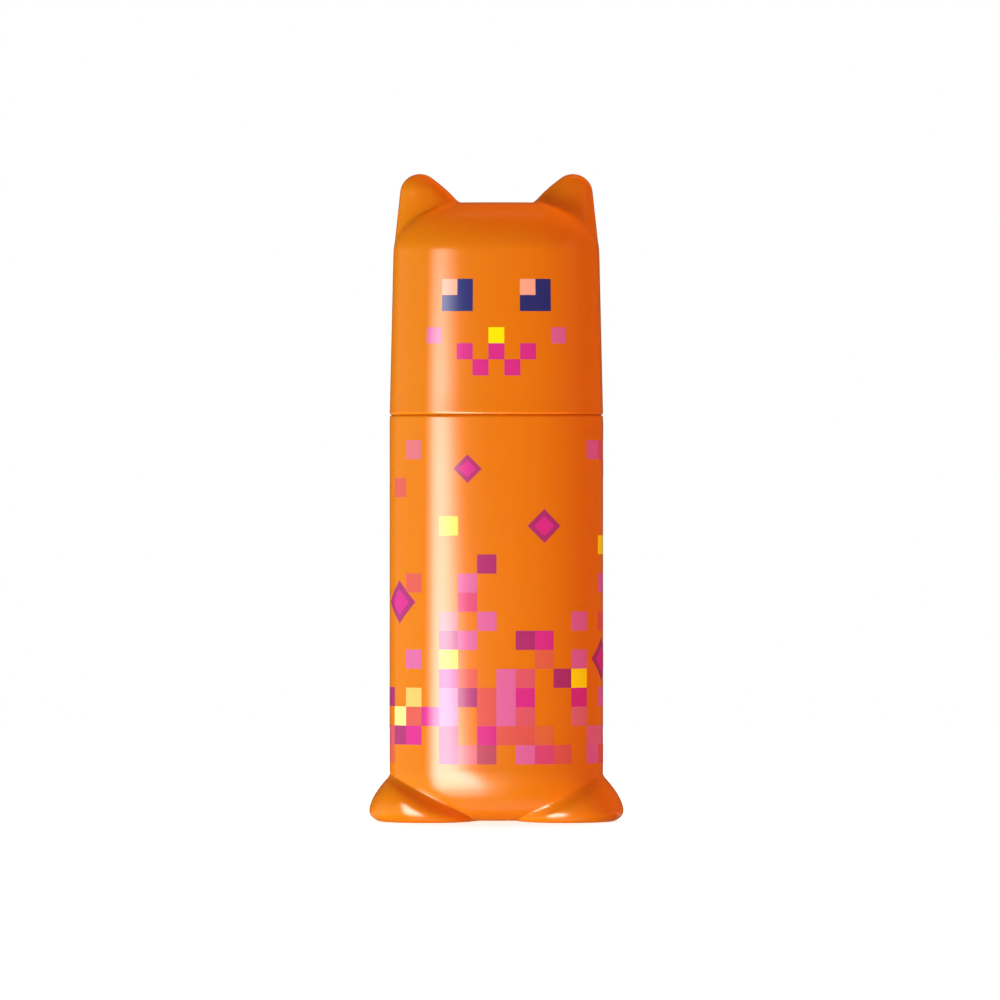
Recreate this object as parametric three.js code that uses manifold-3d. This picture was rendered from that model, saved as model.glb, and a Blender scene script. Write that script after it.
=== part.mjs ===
// Mini highlighter pen that stands upright: an oval barrel on two moulded feet, and a cap with two ears.
// Millimetres, +Z up. The origin is the middle of the footprint, and the front of the pen faces -Y.
import * as THREE from "three";
import { mergeVertices } from "three/addons/utils/BufferGeometryUtils.js";
import Module from "manifold-3d";

const wasm = await Module();
wasm.setup();

// Body, shared by barrel and cap
const bodyWidth = 24.7;
const bodyDepth = 16;
const ovalPower = 2.35; // 2 is an ellipse, more is squarer
const rimRound = 0.3; // rounded edge on both sides of the seam

// Barrel
const barrelWall = 1.3;
const barrelFloor = 1.5;
const baseArch = 0.12; // the middle of the base is this far off the table
const baseFlatWidth = 10.7;
const baseFlatDepth = 2.8;
const baseRoundHeight = 6;
const footCore = 3; // the cavity's lower corners are tighter than the outside, to thin the feet
const mouthWall = 0.75; // wall beside the recess that takes the flange of the nib holder
const ribThickness = 0.9;
const ribDepthSide = 2.1;
const ribDepthFront = 1.5;
const ribSpacing = 5.2;
const floorStandoff = 1.2; // the ribs cross the floor and lift the reservoir this far

// Feet
const footReach = 2.37; // how far a foot stands out past the side of the body
const footHeight = 5.3;
const footDepthInset = 1.3;
const footInnerEdge = 1.2; // inner edge of a foot, from the pen's middle
const footEdgeRoundWidth = 1.6;
const footEdgeRoundHeight = 1.3;
const footFlarePower = 1.65;
const footInnerPower = 1.45;

// Ink reservoir
const reservoirLength = 41.6;
const reservoirGap = 0.15; // between the film and the ribs
const filmWall = 0.25;
const filmGap = 0.1;
const filmInset = 0.6; // the fibres stand out of the film at both ends
const reservoirChamfer = 0.5;

// Nib
const nibWidth = 4.8;
const nibDepth = 3;
const nibCorner = 0.8;
const nibReach = 5.5; // above the nose
const nibBite = 5; // below the top of the reservoir
const nibGap = 0.1;
const chiselEdge = 1.1;
const chiselHeight = 3.4;
const chiselDrop = 2.2; // how much lower the short corner of the slanted edge is
const tailEdge = 0.8;
const tailHeight = 3;

// Nib holder
const pressGap = 0.1; // around the plug and flange in the barrel
const plugWall = 1;
const plugLength = 6.5; // below the flange
const plugLeadIn = 0.5;
const flangeHeight = 1.5;
const stopDepth = 1; // from the flange's underside down to the ribs that stop the reservoir
const stopGap = 0.1;
const neckHeight = 6;
const neckWall = 1.1;
const neckRibThickness = 0.9;
const beadHeight = 1;
const plugBead = 0.25;
const plugBeadDrop = 3.3; // from the flange's underside down to the middle of the bead
const capBead = 0.2;
const capBeadRise = 3; // from the seam up to the middle of the bead
const grooveGap = 0.1;
const shoulderHeight = 3.5;
const noseHeight = 6;
const noseTaper = 0.5;
const noseEdge = 0.5;
const noseWall = 1.1;
const ventRadius = 0.45;

// Cap
const capWall = 1.25;
const crownWall = 1.4;
const capDraft = 0.43; // how far each side leans in from the seam to the crown
const capGap = 0.3; // between the neck of the nib holder and the cap
const crownFlatWidth = 9.8;
const crownFlatDepth = 1.95;
const crownRoundHeight = 5.8;
const nibHeadroom = 1.1; // from the nib up to the liner's closed end
const capTravel = 0; // 0 is closed

// Ears
const earRise = 3.4; // above the crown
const earTipRadius = 2.4;
const earSideInset = 0.67; // from the cap's side to the widest point of the tip
const earOuterLean = THREE.MathUtils.degToRad(5);
const earInnerLean = THREE.MathUtils.degToRad(54); // where the inner flank leaves the tip
const earInnerBulge = 0.1; // per millimetre, how fast the inner flank grows steeper below that
const earRootDepth = 8;
const earTipDepth = 5; // where the tip starts to round over
const earTipPower = 0.8; // how bluntly the tip rounds over, front to back
const earRootStep = 0.8; // ears start this far above the crown's rounding, and their hollows below it
const earPower = 2.5; // squareness of an ear's rings

// Inner cap, the liner that keeps the nib wet
const sealGap = 0.1;
const linerWall = 0.7;
const linerEndWall = 0.8;
const linerRise = 0.5; // from the shoulder to the liner's mouth
const linerMouthLip = 0.5;
const linerHeadGap = 0.4; // around the nib
const linerHeadSkirt = 0.1; // the straight head reaches this far below its socket
const linerChamfer = 1.25; // inside the closed end
const linerNeckHeight = 2.5;
const socketDepth = 1.6;
const socketWall = 0.8;
const socketGap = 0.1;
const ceilingGap = 0.3; // between the liner's closed end and the cap
const finThickness = 0.8;
const finOffset = 3.4;
const finGap = 0.15;
const finMouthRise = 1.6; // the fins start this far above the liner's mouth

// Facets
const bodySides = 48;
const roundSides = 32;
const earSides = 24;
const footSides = 28;
const roundSteps = 6; // in a quarter turn that shows
const hollowSteps = 4; // in a quarter turn inside
const tipSteps = 5;
const footSteps = 5;

// Sizes that follow from the ones above
const bodyHalf = new THREE.Vector2(bodyWidth / 2, bodyDepth / 2);
const floorTop = baseArch + barrelFloor;
const reservoirBottom = floorTop + floorStandoff;
const reservoirTop = reservoirBottom + reservoirLength;
const stopBottom = reservoirTop + stopGap;
const flangeBottom = stopBottom + stopDepth;
const seam = flangeBottom + flangeHeight;
const neckTop = seam + neckHeight;
const noseBottom = neckTop + shoulderHeight;
const noseTop = noseBottom + noseHeight;
const nibTop = noseTop + nibReach;
const nibBottom = reservoirTop - nibBite;
const linerCeiling = nibTop + nibHeadroom;
const linerTop = linerCeiling + linerEndWall;
const capCeiling = linerTop + ceilingGap;
const crown = capCeiling + crownWall;
const crownStart = crown - crownRoundHeight;
const nibHalfDiagonal = Math.hypot(nibWidth / 2 - nibCorner, nibDepth / 2 - nibCorner) + nibCorner;
const noseTipRadius = nibHalfDiagonal + nibGap + noseWall;
const noseBaseRadius = noseTipRadius + noseTaper;
const nibTubeRadius = noseTipRadius;
const linerRadius = noseBaseRadius + sealGap;
const linerHeadRadius = nibHalfDiagonal + linerHeadGap;
const linerMouth = noseBottom + linerRise;
const linerShoulder = linerChamfer + linerEndWall - linerWall * (Math.SQRT2 - 1);
const socketBottom = linerTop - linerShoulder - socketDepth;
const linerHeadBottom = socketBottom - linerHeadSkirt;
const plugHalf = bodyHalf.clone().subScalar(barrelWall + pressGap);
const flangeHalf = bodyHalf.clone().subScalar(mouthWall + pressGap);
const neckHalf = bodyHalf.clone().subScalar(capWall + capGap);
const crownHalfWidth = bodyHalf.x - capDraft;
const cavityHalf = bodyHalf.clone().subScalar(barrelWall);
const filmHalf = cavityHalf.clone().sub(new THREE.Vector2(ribDepthSide, ribDepthFront)).subScalar(reservoirGap);
const coreHalf = filmHalf.clone().subScalar(filmWall + filmGap);

// Shape helpers

// A solid from one closed geometry.
function solidOf(geometry) {
  const bare = new THREE.BufferGeometry();
  bare.setAttribute("position", geometry.getAttribute("position"));
  if (geometry.index) bare.setIndex(geometry.index);
  const merged = mergeVertices(bare, 1e-4);
  const mesh = new wasm.Mesh({
    numProp: 3,
    vertProperties: new Float32Array(merged.getAttribute("position").array),
    triVerts: new Uint32Array(merged.index.array),
  });
  return new wasm.Manifold(mesh);
}

// A skin through a stack of oval rings, closed flat at both ends or drawn to a point at the top.
// Each ring is { z, x, half, power }: its height, sideways shift, half sizes and squareness.
function loft(rings, sides, pointHeight = null) {
  const positions = [];
  const faces = [];
  for (const { z, half, x = 0, power = ovalPower } of rings) {
    for (let i = 0; i < sides; i++) {
      const angle = (2 * Math.PI * i) / sides;
      const across = Math.cos(angle);
      const along = Math.sin(angle);
      positions.push(
        x + Math.sign(across) * half.x * Math.abs(across) ** (2 / power),
        Math.sign(along) * half.y * Math.abs(along) ** (2 / power),
        z,
      );
    }
  }
  const first = rings[0];
  const last = rings[rings.length - 1];
  const bottomMiddle = rings.length * sides;
  const topMiddle = bottomMiddle + 1;
  const topRing = (rings.length - 1) * sides;
  positions.push(first.x ?? 0, 0, first.z);
  positions.push(last.x ?? 0, 0, pointHeight ?? last.z);
  for (let i = 0; i < sides; i++) {
    const next = (i + 1) % sides;
    faces.push(bottomMiddle, next, i);
    faces.push(topMiddle, topRing + i, topRing + next);
    for (let ring = 0; ring < topRing; ring += sides) {
      faces.push(ring + i, ring + next, ring + sides + next);
      faces.push(ring + i, ring + sides + next, ring + sides + i);
    }
  }
  const geometry = new THREE.BufferGeometry();
  geometry.setAttribute("position", new THREE.Float32BufferAttribute(positions, 3));
  geometry.setIndex(faces);
  return solidOf(geometry);
}

// A round solid from a profile of [radius, height] points that starts and ends on the axis, going up.
function turned(profile) {
  const points = profile.map(([radius, height]) => new THREE.Vector2(radius, height));
  const geometry = new THREE.LatheGeometry(points, roundSides);
  geometry.rotateX(Math.PI / 2);
  return solidOf(geometry);
}

function cylinder(radius, bottom, top, sides = roundSides) {
  const geometry = new THREE.CylinderGeometry(radius, radius, top - bottom, sides);
  geometry.rotateX(Math.PI / 2);
  geometry.translate(0, 0, (bottom + top) / 2);
  return solidOf(geometry);
}

function box(x0, x1, y0, y1, z0, z1) {
  const geometry = new THREE.BoxGeometry(x1 - x0, y1 - y0, z1 - z0);
  geometry.translate((x0 + x1) / 2, (y0 + y1) / 2, (z0 + z1) / 2);
  return solidOf(geometry);
}

// A flat plan with rounded corners, raised from one height to another.
function roundedPost(halfX, halfY, corner, bottom, top) {
  const plan = new THREE.Shape();
  plan.moveTo(halfX, corner - halfY);
  plan.absarc(halfX - corner, halfY - corner, corner, 0, Math.PI / 2);
  plan.absarc(corner - halfX, halfY - corner, corner, Math.PI / 2, Math.PI);
  plan.absarc(corner - halfX, corner - halfY, corner, Math.PI, 1.5 * Math.PI);
  plan.absarc(halfX - corner, corner - halfY, corner, 1.5 * Math.PI, 2 * Math.PI);
  const geometry = new THREE.ExtrudeGeometry(plan, {
    depth: top - bottom,
    bevelEnabled: false,
    curveSegments: 6,
  });
  geometry.translate(0, 0, bottom);
  return solidOf(geometry);
}

// An outline of [sideways, height] points, made as thick as asked along Y or along X.
function plate(outline, thickness, alongX) {
  const shape = new THREE.Shape(outline.map(([across, height]) => new THREE.Vector2(across, height)));
  const geometry = new THREE.ExtrudeGeometry(shape, { depth: thickness, bevelEnabled: false });
  geometry.translate(0, 0, -thickness / 2);
  const acrossAxis = alongX ? new THREE.Vector3(0, 1, 0) : new THREE.Vector3(1, 0, 0);
  const upAxis = new THREE.Vector3(0, 0, 1);
  geometry.applyMatrix4(
    new THREE.Matrix4().makeBasis(acrossAxis, upAxis, acrossAxis.clone().cross(upAxis)),
  );
  return solidOf(geometry);
}

// The same steps round a quarter turn, from 0 to 90 degrees.
function quarterTurn(steps) {
  return Array.from({ length: steps + 1 }, (_, i) => (i * Math.PI) / 2 / steps);
}

function mirrored(solid) {
  return solid.mirror([1, 0, 0]);
}

function inset(half, by) {
  return half.clone().subScalar(by);
}

// Three rings of the low ridge that a snap fit clicks over, or of the groove that takes it.
function bead(half, middle, proud, height = beadHeight) {
  return [
    { z: middle - height / 2, half },
    { z: middle, half: inset(half, -proud) },
    { z: middle + height / 2, half },
  ];
}

// Barrel

// The outside from the base to the seam, without the feet.
function barrelBody() {
  const rounding = bodyHalf.clone().sub(new THREE.Vector2(baseFlatWidth / 2, baseFlatDepth / 2));
  const base = quarterTurn(roundSteps)
    .reverse()
    .map((angle) => ({
      z: baseArch + baseRoundHeight * (1 - Math.sin(angle)),
      half: bodyHalf.clone().addScaledVector(rounding, Math.cos(angle) - 1),
    }));
  const rim = quarterTurn(2).map((angle) => ({
    z: seam - rimRound * (1 - Math.sin(angle)),
    half: inset(bodyHalf, rimRound * (1 - Math.cos(angle))),
  }));
  return loft([...base, ...rim], bodySides);
}

// One foot at the +X side: a lobe that flares out and forward from the corner of the base.
function foot() {
  const reach = bodyHalf.x + footReach;
  const depth = bodyHalf.y - footDepthInset;
  const ring = (z, edge, flare, lean) => {
    const outer = reach - edge - flare * footReach;
    const share = z / footHeight;
    const inner = footInnerEdge + edge + (bodyHalf.x - footInnerEdge) * share ** footInnerPower;
    return {
      z,
      x: (outer + inner) / 2,
      half: new THREE.Vector2((outer - inner) / 2, depth * lean - edge),
      power: 2,
    };
  };
  const lower = quarterTurn(4).map((angle) =>
    ring(footEdgeRoundHeight * (1 - Math.cos(angle)), footEdgeRoundWidth * (1 - Math.sin(angle)), 0, 1),
  );
  const upper = quarterTurn(footSteps)
    .slice(1, -1)
    .map((angle) => {
      const share = Math.sin(angle);
      const z = THREE.MathUtils.lerp(footEdgeRoundHeight, footHeight, share);
      return ring(z, 0, share ** footFlarePower, Math.cos(angle));
    });
  return loft([...lower, ...upper], footSides, footHeight);
}

// The hollow that holds the reservoir, with a snap groove and a recess for the nib holder's flange.
function barrelCavity() {
  const rounding = new THREE.Vector2(footCore, cavityHalf.y - baseFlatDepth / 2);
  const roundHeight = baseRoundHeight - barrelWall;
  const mouthHalf = inset(bodyHalf, mouthWall);
  const base = quarterTurn(hollowSteps)
    .reverse()
    .map((angle) => ({
      z: floorTop + roundHeight * (1 - Math.sin(angle)),
      half: cavityHalf.clone().addScaledVector(rounding, Math.cos(angle) - 1),
    }));
  return loft(
    [
      ...base,
      ...bead(cavityHalf, flangeBottom - plugBeadDrop, plugBead, beadHeight + 2 * grooveGap),
      { z: flangeBottom, half: cavityHalf },
      { z: flangeBottom, half: mouthHalf },
      { z: seam + 1, half: mouthHalf },
    ],
    bodySides,
  );
}

// Upright ribs that hold the reservoir off the walls and off the floor.
function barrelRibs() {
  const top = flangeBottom - plugLength - pressGap;
  const half = ribThickness / 2;
  let ribs = box(-bodyHalf.x, bodyHalf.x, -half, half, baseArch, top);
  for (const x of [-ribSpacing, 0, ribSpacing]) {
    ribs = ribs.add(box(x - half, x + half, -bodyHalf.y, bodyHalf.y, baseArch, top));
  }
  const clearHalf = inset(filmHalf, -reservoirGap);
  const clear = loft(
    [
      { z: reservoirBottom, half: clearHalf },
      { z: top + 1, half: clearHalf },
    ],
    bodySides,
  );
  return ribs.subtract(clear);
}

function barrel() {
  const rightFoot = foot();
  return barrelBody()
    .add(rightFoot)
    .add(mirrored(rightFoot))
    .subtract(barrelCavity().subtract(barrelRibs()));
}

// Ink reservoir

// A thin film sleeve, heat-sealed round the fibres.
function reservoirFilm() {
  const bottom = reservoirBottom + filmInset;
  const top = reservoirTop - filmInset;
  const ring = (z, half) => ({ z, half });
  const inner = inset(filmHalf, filmWall);
  return loft([ring(bottom, filmHalf), ring(top, filmHalf)], bodySides).subtract(
    loft([ring(bottom - 1, inner), ring(top + 1, inner)], bodySides),
  );
}

// The bundle of ink-soaked fibres, with the slot that the nib's tail has pushed into it.
function reservoirCore() {
  const end = inset(coreHalf, reservoirChamfer);
  const bundle = loft(
    [
      { z: reservoirBottom, half: end },
      { z: reservoirBottom + reservoirChamfer, half: coreHalf },
      { z: reservoirTop - reservoirChamfer, half: coreHalf },
      { z: reservoirTop, half: end },
    ],
    bodySides,
  );
  return bundle.subtract(nibShape(nibGap));
}

// Nib

// A felt post with a slanted chisel edge above and a wedge-shaped tail below, grown by a gap.
function nibShape(gap) {
  const halfX = nibWidth / 2 + gap;
  const halfY = nibDepth / 2 + gap;
  const bottom = nibBottom - gap;
  const post = roundedPost(halfX, halfY, nibCorner + gap, bottom, nibTop);
  const slant = plate(
    [
      [-halfX, bottom],
      [halfX, bottom],
      [halfX, nibTop - chiselDrop],
      [-halfX, nibTop],
    ],
    nibDepth * 2,
    false,
  );
  const wedge = plate(
    [
      [-tailEdge / 2 - gap, bottom],
      [tailEdge / 2 + gap, bottom],
      [halfY, nibBottom + tailHeight],
      [halfY, nibTop - chiselHeight],
      [chiselEdge / 2, nibTop],
      [-chiselEdge / 2, nibTop],
      [-halfY, nibTop - chiselHeight],
      [-halfY, nibBottom + tailHeight],
    ],
    nibWidth * 2,
    true,
  );
  return post.intersect(slant).intersect(wedge);
}

// Nib holder

// The outside: plug, flange, neck, rounded shoulder and nose.
function holderOutside() {
  const plugBottom = flangeBottom - plugLength;
  const noseBase = new THREE.Vector2(noseBaseRadius, noseBaseRadius);
  const shoulder = quarterTurn(roundSteps).map((angle) => {
    const share = 1 - Math.cos(angle);
    return {
      z: neckTop + shoulderHeight * Math.sin(angle),
      half: neckHalf.clone().lerp(noseBase, share),
      power: THREE.MathUtils.lerp(ovalPower, 2, share),
    };
  });
  const body = loft(
    [
      { z: plugBottom, half: inset(plugHalf, plugLeadIn) },
      { z: plugBottom + plugLeadIn, half: plugHalf },
      ...bead(plugHalf, flangeBottom - plugBeadDrop, plugBead),
      { z: flangeBottom, half: plugHalf },
      { z: flangeBottom, half: flangeHalf },
      { z: seam, half: flangeHalf },
      { z: seam, half: neckHalf },
      ...bead(neckHalf, seam + capBeadRise, capBead),
      ...shoulder,
    ],
    bodySides,
  );
  const nose = turned([
    [0, neckTop],
    [noseBaseRadius, neckTop],
    [noseBaseRadius, noseBottom],
    [noseTipRadius, noseTop - noseEdge],
    ...quarterTurn(3)
      .slice(1)
      .map((angle) => [
        noseTipRadius - noseEdge * (1 - Math.cos(angle)),
        noseTop - noseEdge * (1 - Math.sin(angle)),
      ]),
    [0, noseTop],
  ]);
  return body.add(nose);
}

// The hollow underneath, less the tube round the nib and the ribs that stop the reservoir.
function holderHollow() {
  const plugInside = inset(plugHalf, plugWall);
  const neckInside = inset(neckHalf, neckWall);
  const tubeHalf = new THREE.Vector2(nibTubeRadius, nibTubeRadius);
  const roof = quarterTurn(hollowSteps).map((angle) => {
    const share = 1 - Math.cos(angle);
    return {
      z: neckTop + (shoulderHeight - neckWall) * Math.sin(angle),
      half: neckInside.clone().lerp(tubeHalf, share),
      power: THREE.MathUtils.lerp(ovalPower, 2, share),
    };
  });
  const hollow = loft(
    [
      { z: flangeBottom - plugLength - 1, half: plugInside },
      { z: flangeBottom, half: plugInside },
      { z: seam, half: neckInside },
      ...roof,
    ],
    bodySides,
  );
  const half = neckRibThickness / 2;
  const tube = cylinder(nibTubeRadius, stopBottom, noseTop - noseEdge);
  const sideRib = box(-bodyHalf.x, bodyHalf.x, -half, half, stopBottom, noseBottom);
  const frontRib = box(-half, half, -bodyHalf.y, bodyHalf.y, stopBottom, noseBottom);
  return hollow.subtract(tube).subtract(sideRib).subtract(frontRib);
}

function nibHolder() {
  const bore = roundedPost(
    nibWidth / 2 + nibGap,
    nibDepth / 2 + nibGap,
    nibCorner + nibGap,
    stopBottom - 1,
    noseTop + 1,
  );
  const vent = cylinder(ventRadius, stopBottom - 1, noseTop + 1, 12);
  const ventOffset = nibDepth / 2 + nibGap;
  return holderOutside()
    .subtract(holderHollow())
    .subtract(bore)
    .subtract(vent.translate([0, ventOffset, 0]))
    .subtract(vent.translate([0, -ventOffset, 0]));
}

// Cap

// Half sizes of the cap's leaning sides at a height, drawn in by a wall thickness.
function capHalf(z, wall) {
  return inset(bodyHalf, wall + (capDraft * (z - seam)) / (crownStart - seam));
}

// Rings of the rounded crown, drawn in by the thicknesses of the sides and the top.
function crownRings(wall, topWall, steps) {
  const flat = new THREE.Vector2(crownFlatWidth / 2, crownFlatDepth / 2);
  const side = capHalf(crownStart, wall);
  return quarterTurn(steps).map((angle) => ({
    z: crownStart + (crownRoundHeight - topWall) * Math.sin(angle),
    half: flat.clone().lerp(side, Math.cos(angle)),
  }));
}

function capBody() {
  const rim = quarterTurn(2)
    .reverse()
    .map((angle) => ({
      z: seam + rimRound * (1 - Math.sin(angle)),
      half: inset(bodyHalf, rimRound * (1 - Math.cos(angle))),
    }));
  return loft([...rim, ...crownRings(0, 0, roundSteps)], bodySides);
}

// One ear at the +X side. A round tip runs down into an upright outer flank and a bulging inner one.
// Drawn in by a wall, it is the hollow inside the ear, and starts below the crown's rounding.
function ear(wall) {
  const radius = earTipRadius - wall;
  const tipX = crownHalfWidth - earSideInset - earTipRadius;
  const tipZ = crown + earRise - earTipRadius;
  const root = crownStart + (wall > 0 ? -earRootStep : earRootStep);
  const rootEdge = crownFlatWidth / 2 - earTipRadius / 2 + wall;
  const outerStart = tipZ + radius * Math.sin(earOuterLean);
  const innerStart = tipZ + radius * Math.sin(earInnerLean);
  const arc = (z) => Math.sqrt(Math.max(radius ** 2 - (z - tipZ) ** 2, 0));
  const outer = (z) => {
    const drop = outerStart - z;
    return drop > 0
      ? tipX + radius * Math.cos(earOuterLean) + drop * Math.tan(earOuterLean)
      : tipX + arc(z);
  };
  const inner = (z) => {
    const drop = innerStart - z;
    const flank = tipX - radius * Math.cos(earInnerLean) - drop * Math.tan(earInnerLean);
    return drop > 0 ? Math.max(flank + earInnerBulge * drop ** 2, rootEdge) : tipX - arc(z);
  };
  const ring = (z, rounding) => {
    const share = Math.min((z - crownStart) / (tipZ - crownStart), 1);
    const depth = THREE.MathUtils.lerp(earRootDepth, earTipDepth, share) / 2 - wall;
    return {
      z,
      x: (outer(z) + inner(z)) / 2,
      half: new THREE.Vector2((outer(z) - inner(z)) / 2, depth * rounding),
      power: earPower,
    };
  };
  const flankFoot = crown - wall;
  const flanks = [root, flankFoot, (flankFoot + tipZ) / 2].map((z) => ring(z, 1));
  const tip = quarterTurn(tipSteps)
    .slice(0, -1)
    .map((angle) => ring(tipZ + radius * Math.sin(angle), Math.cos(angle) ** earTipPower));
  return loft([...flanks, ...tip], earSides, tipZ + radius);
}

// The hollow of the cap, less the fins and the socket that hold the liner.
function capHollow() {
  const grooveMiddle = seam + capBeadRise;
  const hollow = loft(
    [
      { z: seam - 1, half: capHalf(seam, capWall) },
      { z: seam, half: capHalf(seam, capWall) },
      ...bead(capHalf(grooveMiddle, capWall), grooveMiddle, capBead, beadHeight + 2 * grooveGap),
      ...crownRings(capWall, crownWall, hollowSteps),
    ],
    bodySides,
  );
  const headOutside = linerHeadRadius + linerWall + socketGap;
  const socket = cylinder(headOutside + socketWall, socketBottom, crown).subtract(
    cylinder(headOutside, socketBottom - 1, capCeiling),
  );
  const finBottom = linerMouth + finMouthRise;
  let fins = null;
  for (const x of [-finOffset, finOffset]) {
    const fin = box(x - finThickness / 2, x + finThickness / 2, -bodyHalf.y, bodyHalf.y, finBottom, linerHeadBottom);
    fins = fins ? fins.add(fin) : fin;
  }
  const sleeveSpace = cylinder(linerRadius + linerWall + finGap, finBottom - 1, linerHeadBottom + 1);
  return hollow.subtract(socket).subtract(fins.subtract(sleeveSpace));
}

function capShell() {
  const rightEar = ear(0);
  const earHollow = ear(capWall);
  return capBody()
    .add(rightEar)
    .add(mirrored(rightEar))
    .subtract(capHollow())
    .subtract(earHollow)
    .subtract(mirrored(earHollow));
}

// Inner cap

// A soft tube with a lip that seals on the nose, and a closed head pressed into the cap's socket.
function innerCap() {
  const outer = linerRadius + linerWall;
  const headOuter = linerHeadRadius + linerWall;
  const neckBottom = linerHeadBottom - linerNeckHeight;
  return turned([
    [0, linerCeiling],
    [linerHeadRadius - linerChamfer, linerCeiling],
    [linerHeadRadius, linerCeiling - linerChamfer],
    [linerHeadRadius, linerHeadBottom],
    [linerRadius, neckBottom],
    [linerRadius, linerMouth + linerMouthLip],
    [linerRadius + linerMouthLip / 2, linerMouth],
    [outer, linerMouth],
    [outer, neckBottom],
    [headOuter, linerHeadBottom],
    [headOuter, linerTop - linerShoulder],
    [headOuter - linerShoulder, linerTop],
    [0, linerTop],
  ]);
}

// Materials

function plastic(color, roughness) {
  return new THREE.MeshStandardMaterial({ color, roughness, metalness: 0 });
}

const glossOrange = plastic(0xf07a14, 0.22);
const naturalWhite = plastic(0xf2efe6, 0.4);
const softWhite = plastic(0xf7f4ee, 0.5);
const orangeFelt = plastic(0xff6a1a, 0.95);
const inkedFibre = plastic(0xff7a2a, 0.9);
const clearFilm = plastic(0xf4e9dc, 0.3);

// Assembly

function piece(name, solid, material) {
  const { vertProperties, triVerts } = solid.getMesh();
  const geometry = new THREE.BufferGeometry();
  geometry.setAttribute("position", new THREE.BufferAttribute(vertProperties, 3));
  geometry.setIndex(new THREE.BufferAttribute(triVerts, 1));
  geometry.computeVertexNormals();
  const mesh = new THREE.Mesh(geometry, material);
  mesh.name = name;
  return mesh;
}

const body = new THREE.Group();
body.add(
  piece("barrel", barrel(), glossOrange),
  piece("reservoir_core", reservoirCore(), inkedFibre),
  piece("reservoir_film", reservoirFilm(), clearFilm),
  piece("nib_holder", nibHolder(), naturalWhite),
  piece("nib", nibShape(0), orangeFelt),
);

const cap = new THREE.Group();
cap.position.z = capTravel;
cap.add(piece("cap_shell", capShell(), glossOrange), piece("inner_cap", innerCap(), softWhite));

const pen = new THREE.Group();
pen.add(body, cap);

export default pen;
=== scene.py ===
# A short highlighter that stands on two feet, with an eared pull-off cap, dressed around its CAD model.
# Sizes are in millimetres until a mesh is made, and the studio's are in metres. Front is -Y, up is +Z.
import math
import random

import bpy
import numpy as np
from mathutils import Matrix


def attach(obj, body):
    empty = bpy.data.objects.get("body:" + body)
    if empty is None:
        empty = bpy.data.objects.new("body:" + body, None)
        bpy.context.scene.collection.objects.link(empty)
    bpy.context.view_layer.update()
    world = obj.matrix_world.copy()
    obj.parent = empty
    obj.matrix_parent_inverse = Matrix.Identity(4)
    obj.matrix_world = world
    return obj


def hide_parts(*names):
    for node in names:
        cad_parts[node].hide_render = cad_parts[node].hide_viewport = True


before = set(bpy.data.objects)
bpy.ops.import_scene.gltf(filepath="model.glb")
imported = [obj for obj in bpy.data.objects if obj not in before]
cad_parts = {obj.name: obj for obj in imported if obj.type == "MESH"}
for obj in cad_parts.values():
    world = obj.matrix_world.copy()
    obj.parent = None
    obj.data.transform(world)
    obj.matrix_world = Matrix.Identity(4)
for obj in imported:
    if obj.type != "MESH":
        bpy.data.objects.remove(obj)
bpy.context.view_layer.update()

# Barrel
# The barrel is an oval tube with a closed, rounded base and two flared feet, injection moulded in one
# piece from glossy orange polypropylene. Its mouth has a stepped recess that the nib holder presses into.

MM = 0.001
BODY_HALF = np.array([12.35, 8.0])
OVAL_POWER = 2.35
SEAM = 47.02
RIM_ROUND = 0.3
RIM_STEPS = 5
HOLDING_STEP = 0.12  # from the rim's rounding to the ring that keeps the side's shading even
COLUMNS = 384
BARREL_WALL = 1.3
MOUTH_WALL = 0.75
BASE_ARCH = 0.12
BASE_FLAT_HALF = np.array([5.35, 1.4])
BASE_ROUND_HEIGHT = 6.0
CAVITY_HALF = BODY_HALF - BARREL_WALL
CAVITY_FLOOR = 1.62
CAVITY_ROUNDING = np.array([3.0, 5.3])
CAVITY_ROUND_HEIGHT = 4.7
CAVITY_STEPS = 6
MOUTH_HALF = BODY_HALF - MOUTH_WALL
FLANGE_BOTTOM = 45.52
PLUG_GROOVE = 42.22
PLUG_BEAD = 0.25
GROOVE_HALF_HEIGHT = 0.6
FOOT_REACH = 2.37
FOOT_HEIGHT = 5.3
FOOT_DEPTH = 6.7
FOOT_INNER_EDGE = 1.2
FOOT_EDGE_WIDTH = 1.6
FOOT_EDGE_HEIGHT = 1.3
FOOT_FLARE_POWER = 1.65
FOOT_INNER_POWER = 1.45
TUBE_ROWS = 8
BASE_TOP = 7.2
BASE_ROWS = 120
BASE_OUTLINE = [(1, BASE_TOP), (1.02, 5.6), (1.2, 1.2), (1.17, 0), (0.02, 0)]  # share of the width, height
BASE_SPINE_HEIGHT = 2.0
FOOT_FILLET_WIDTH = 0.35
FOOT_FILLET_GROWTH = 3.5
FOOT_FILLET_PASSES = 60
ORANGE = "#E07A09"
POLYPROPYLENE_IOR = 1.49
FLOW_MARK_SIZE = 5.0
GLOSS_SPREAD = (0.93, 1.07)  # the least and the most roughness, as shares of the usual


def oval_point(angle, power):
    """Where an angle lies on an oval whose half sizes are 1."""
    across, along = np.cos(angle), np.sin(angle)
    return np.stack(
        [
            np.sign(across) * np.abs(across) ** (2 / power),
            np.sign(along) * np.abs(along) ** (2 / power),
        ],
        axis=-1,
    )


def even_angles(half, power, count):
    """Angles that step evenly along an oval of these half sizes, from the middle of the back."""
    back = np.pi / 2
    dense = np.linspace(0, 2 * np.pi, 20001) + back
    steps = np.linalg.norm(np.diff(oval_point(dense, power) * half, axis=0), axis=1)
    travelled = np.concatenate([[0], np.cumsum(steps)])
    return np.interp(np.arange(count) / count * travelled[-1], travelled, dense)


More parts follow.
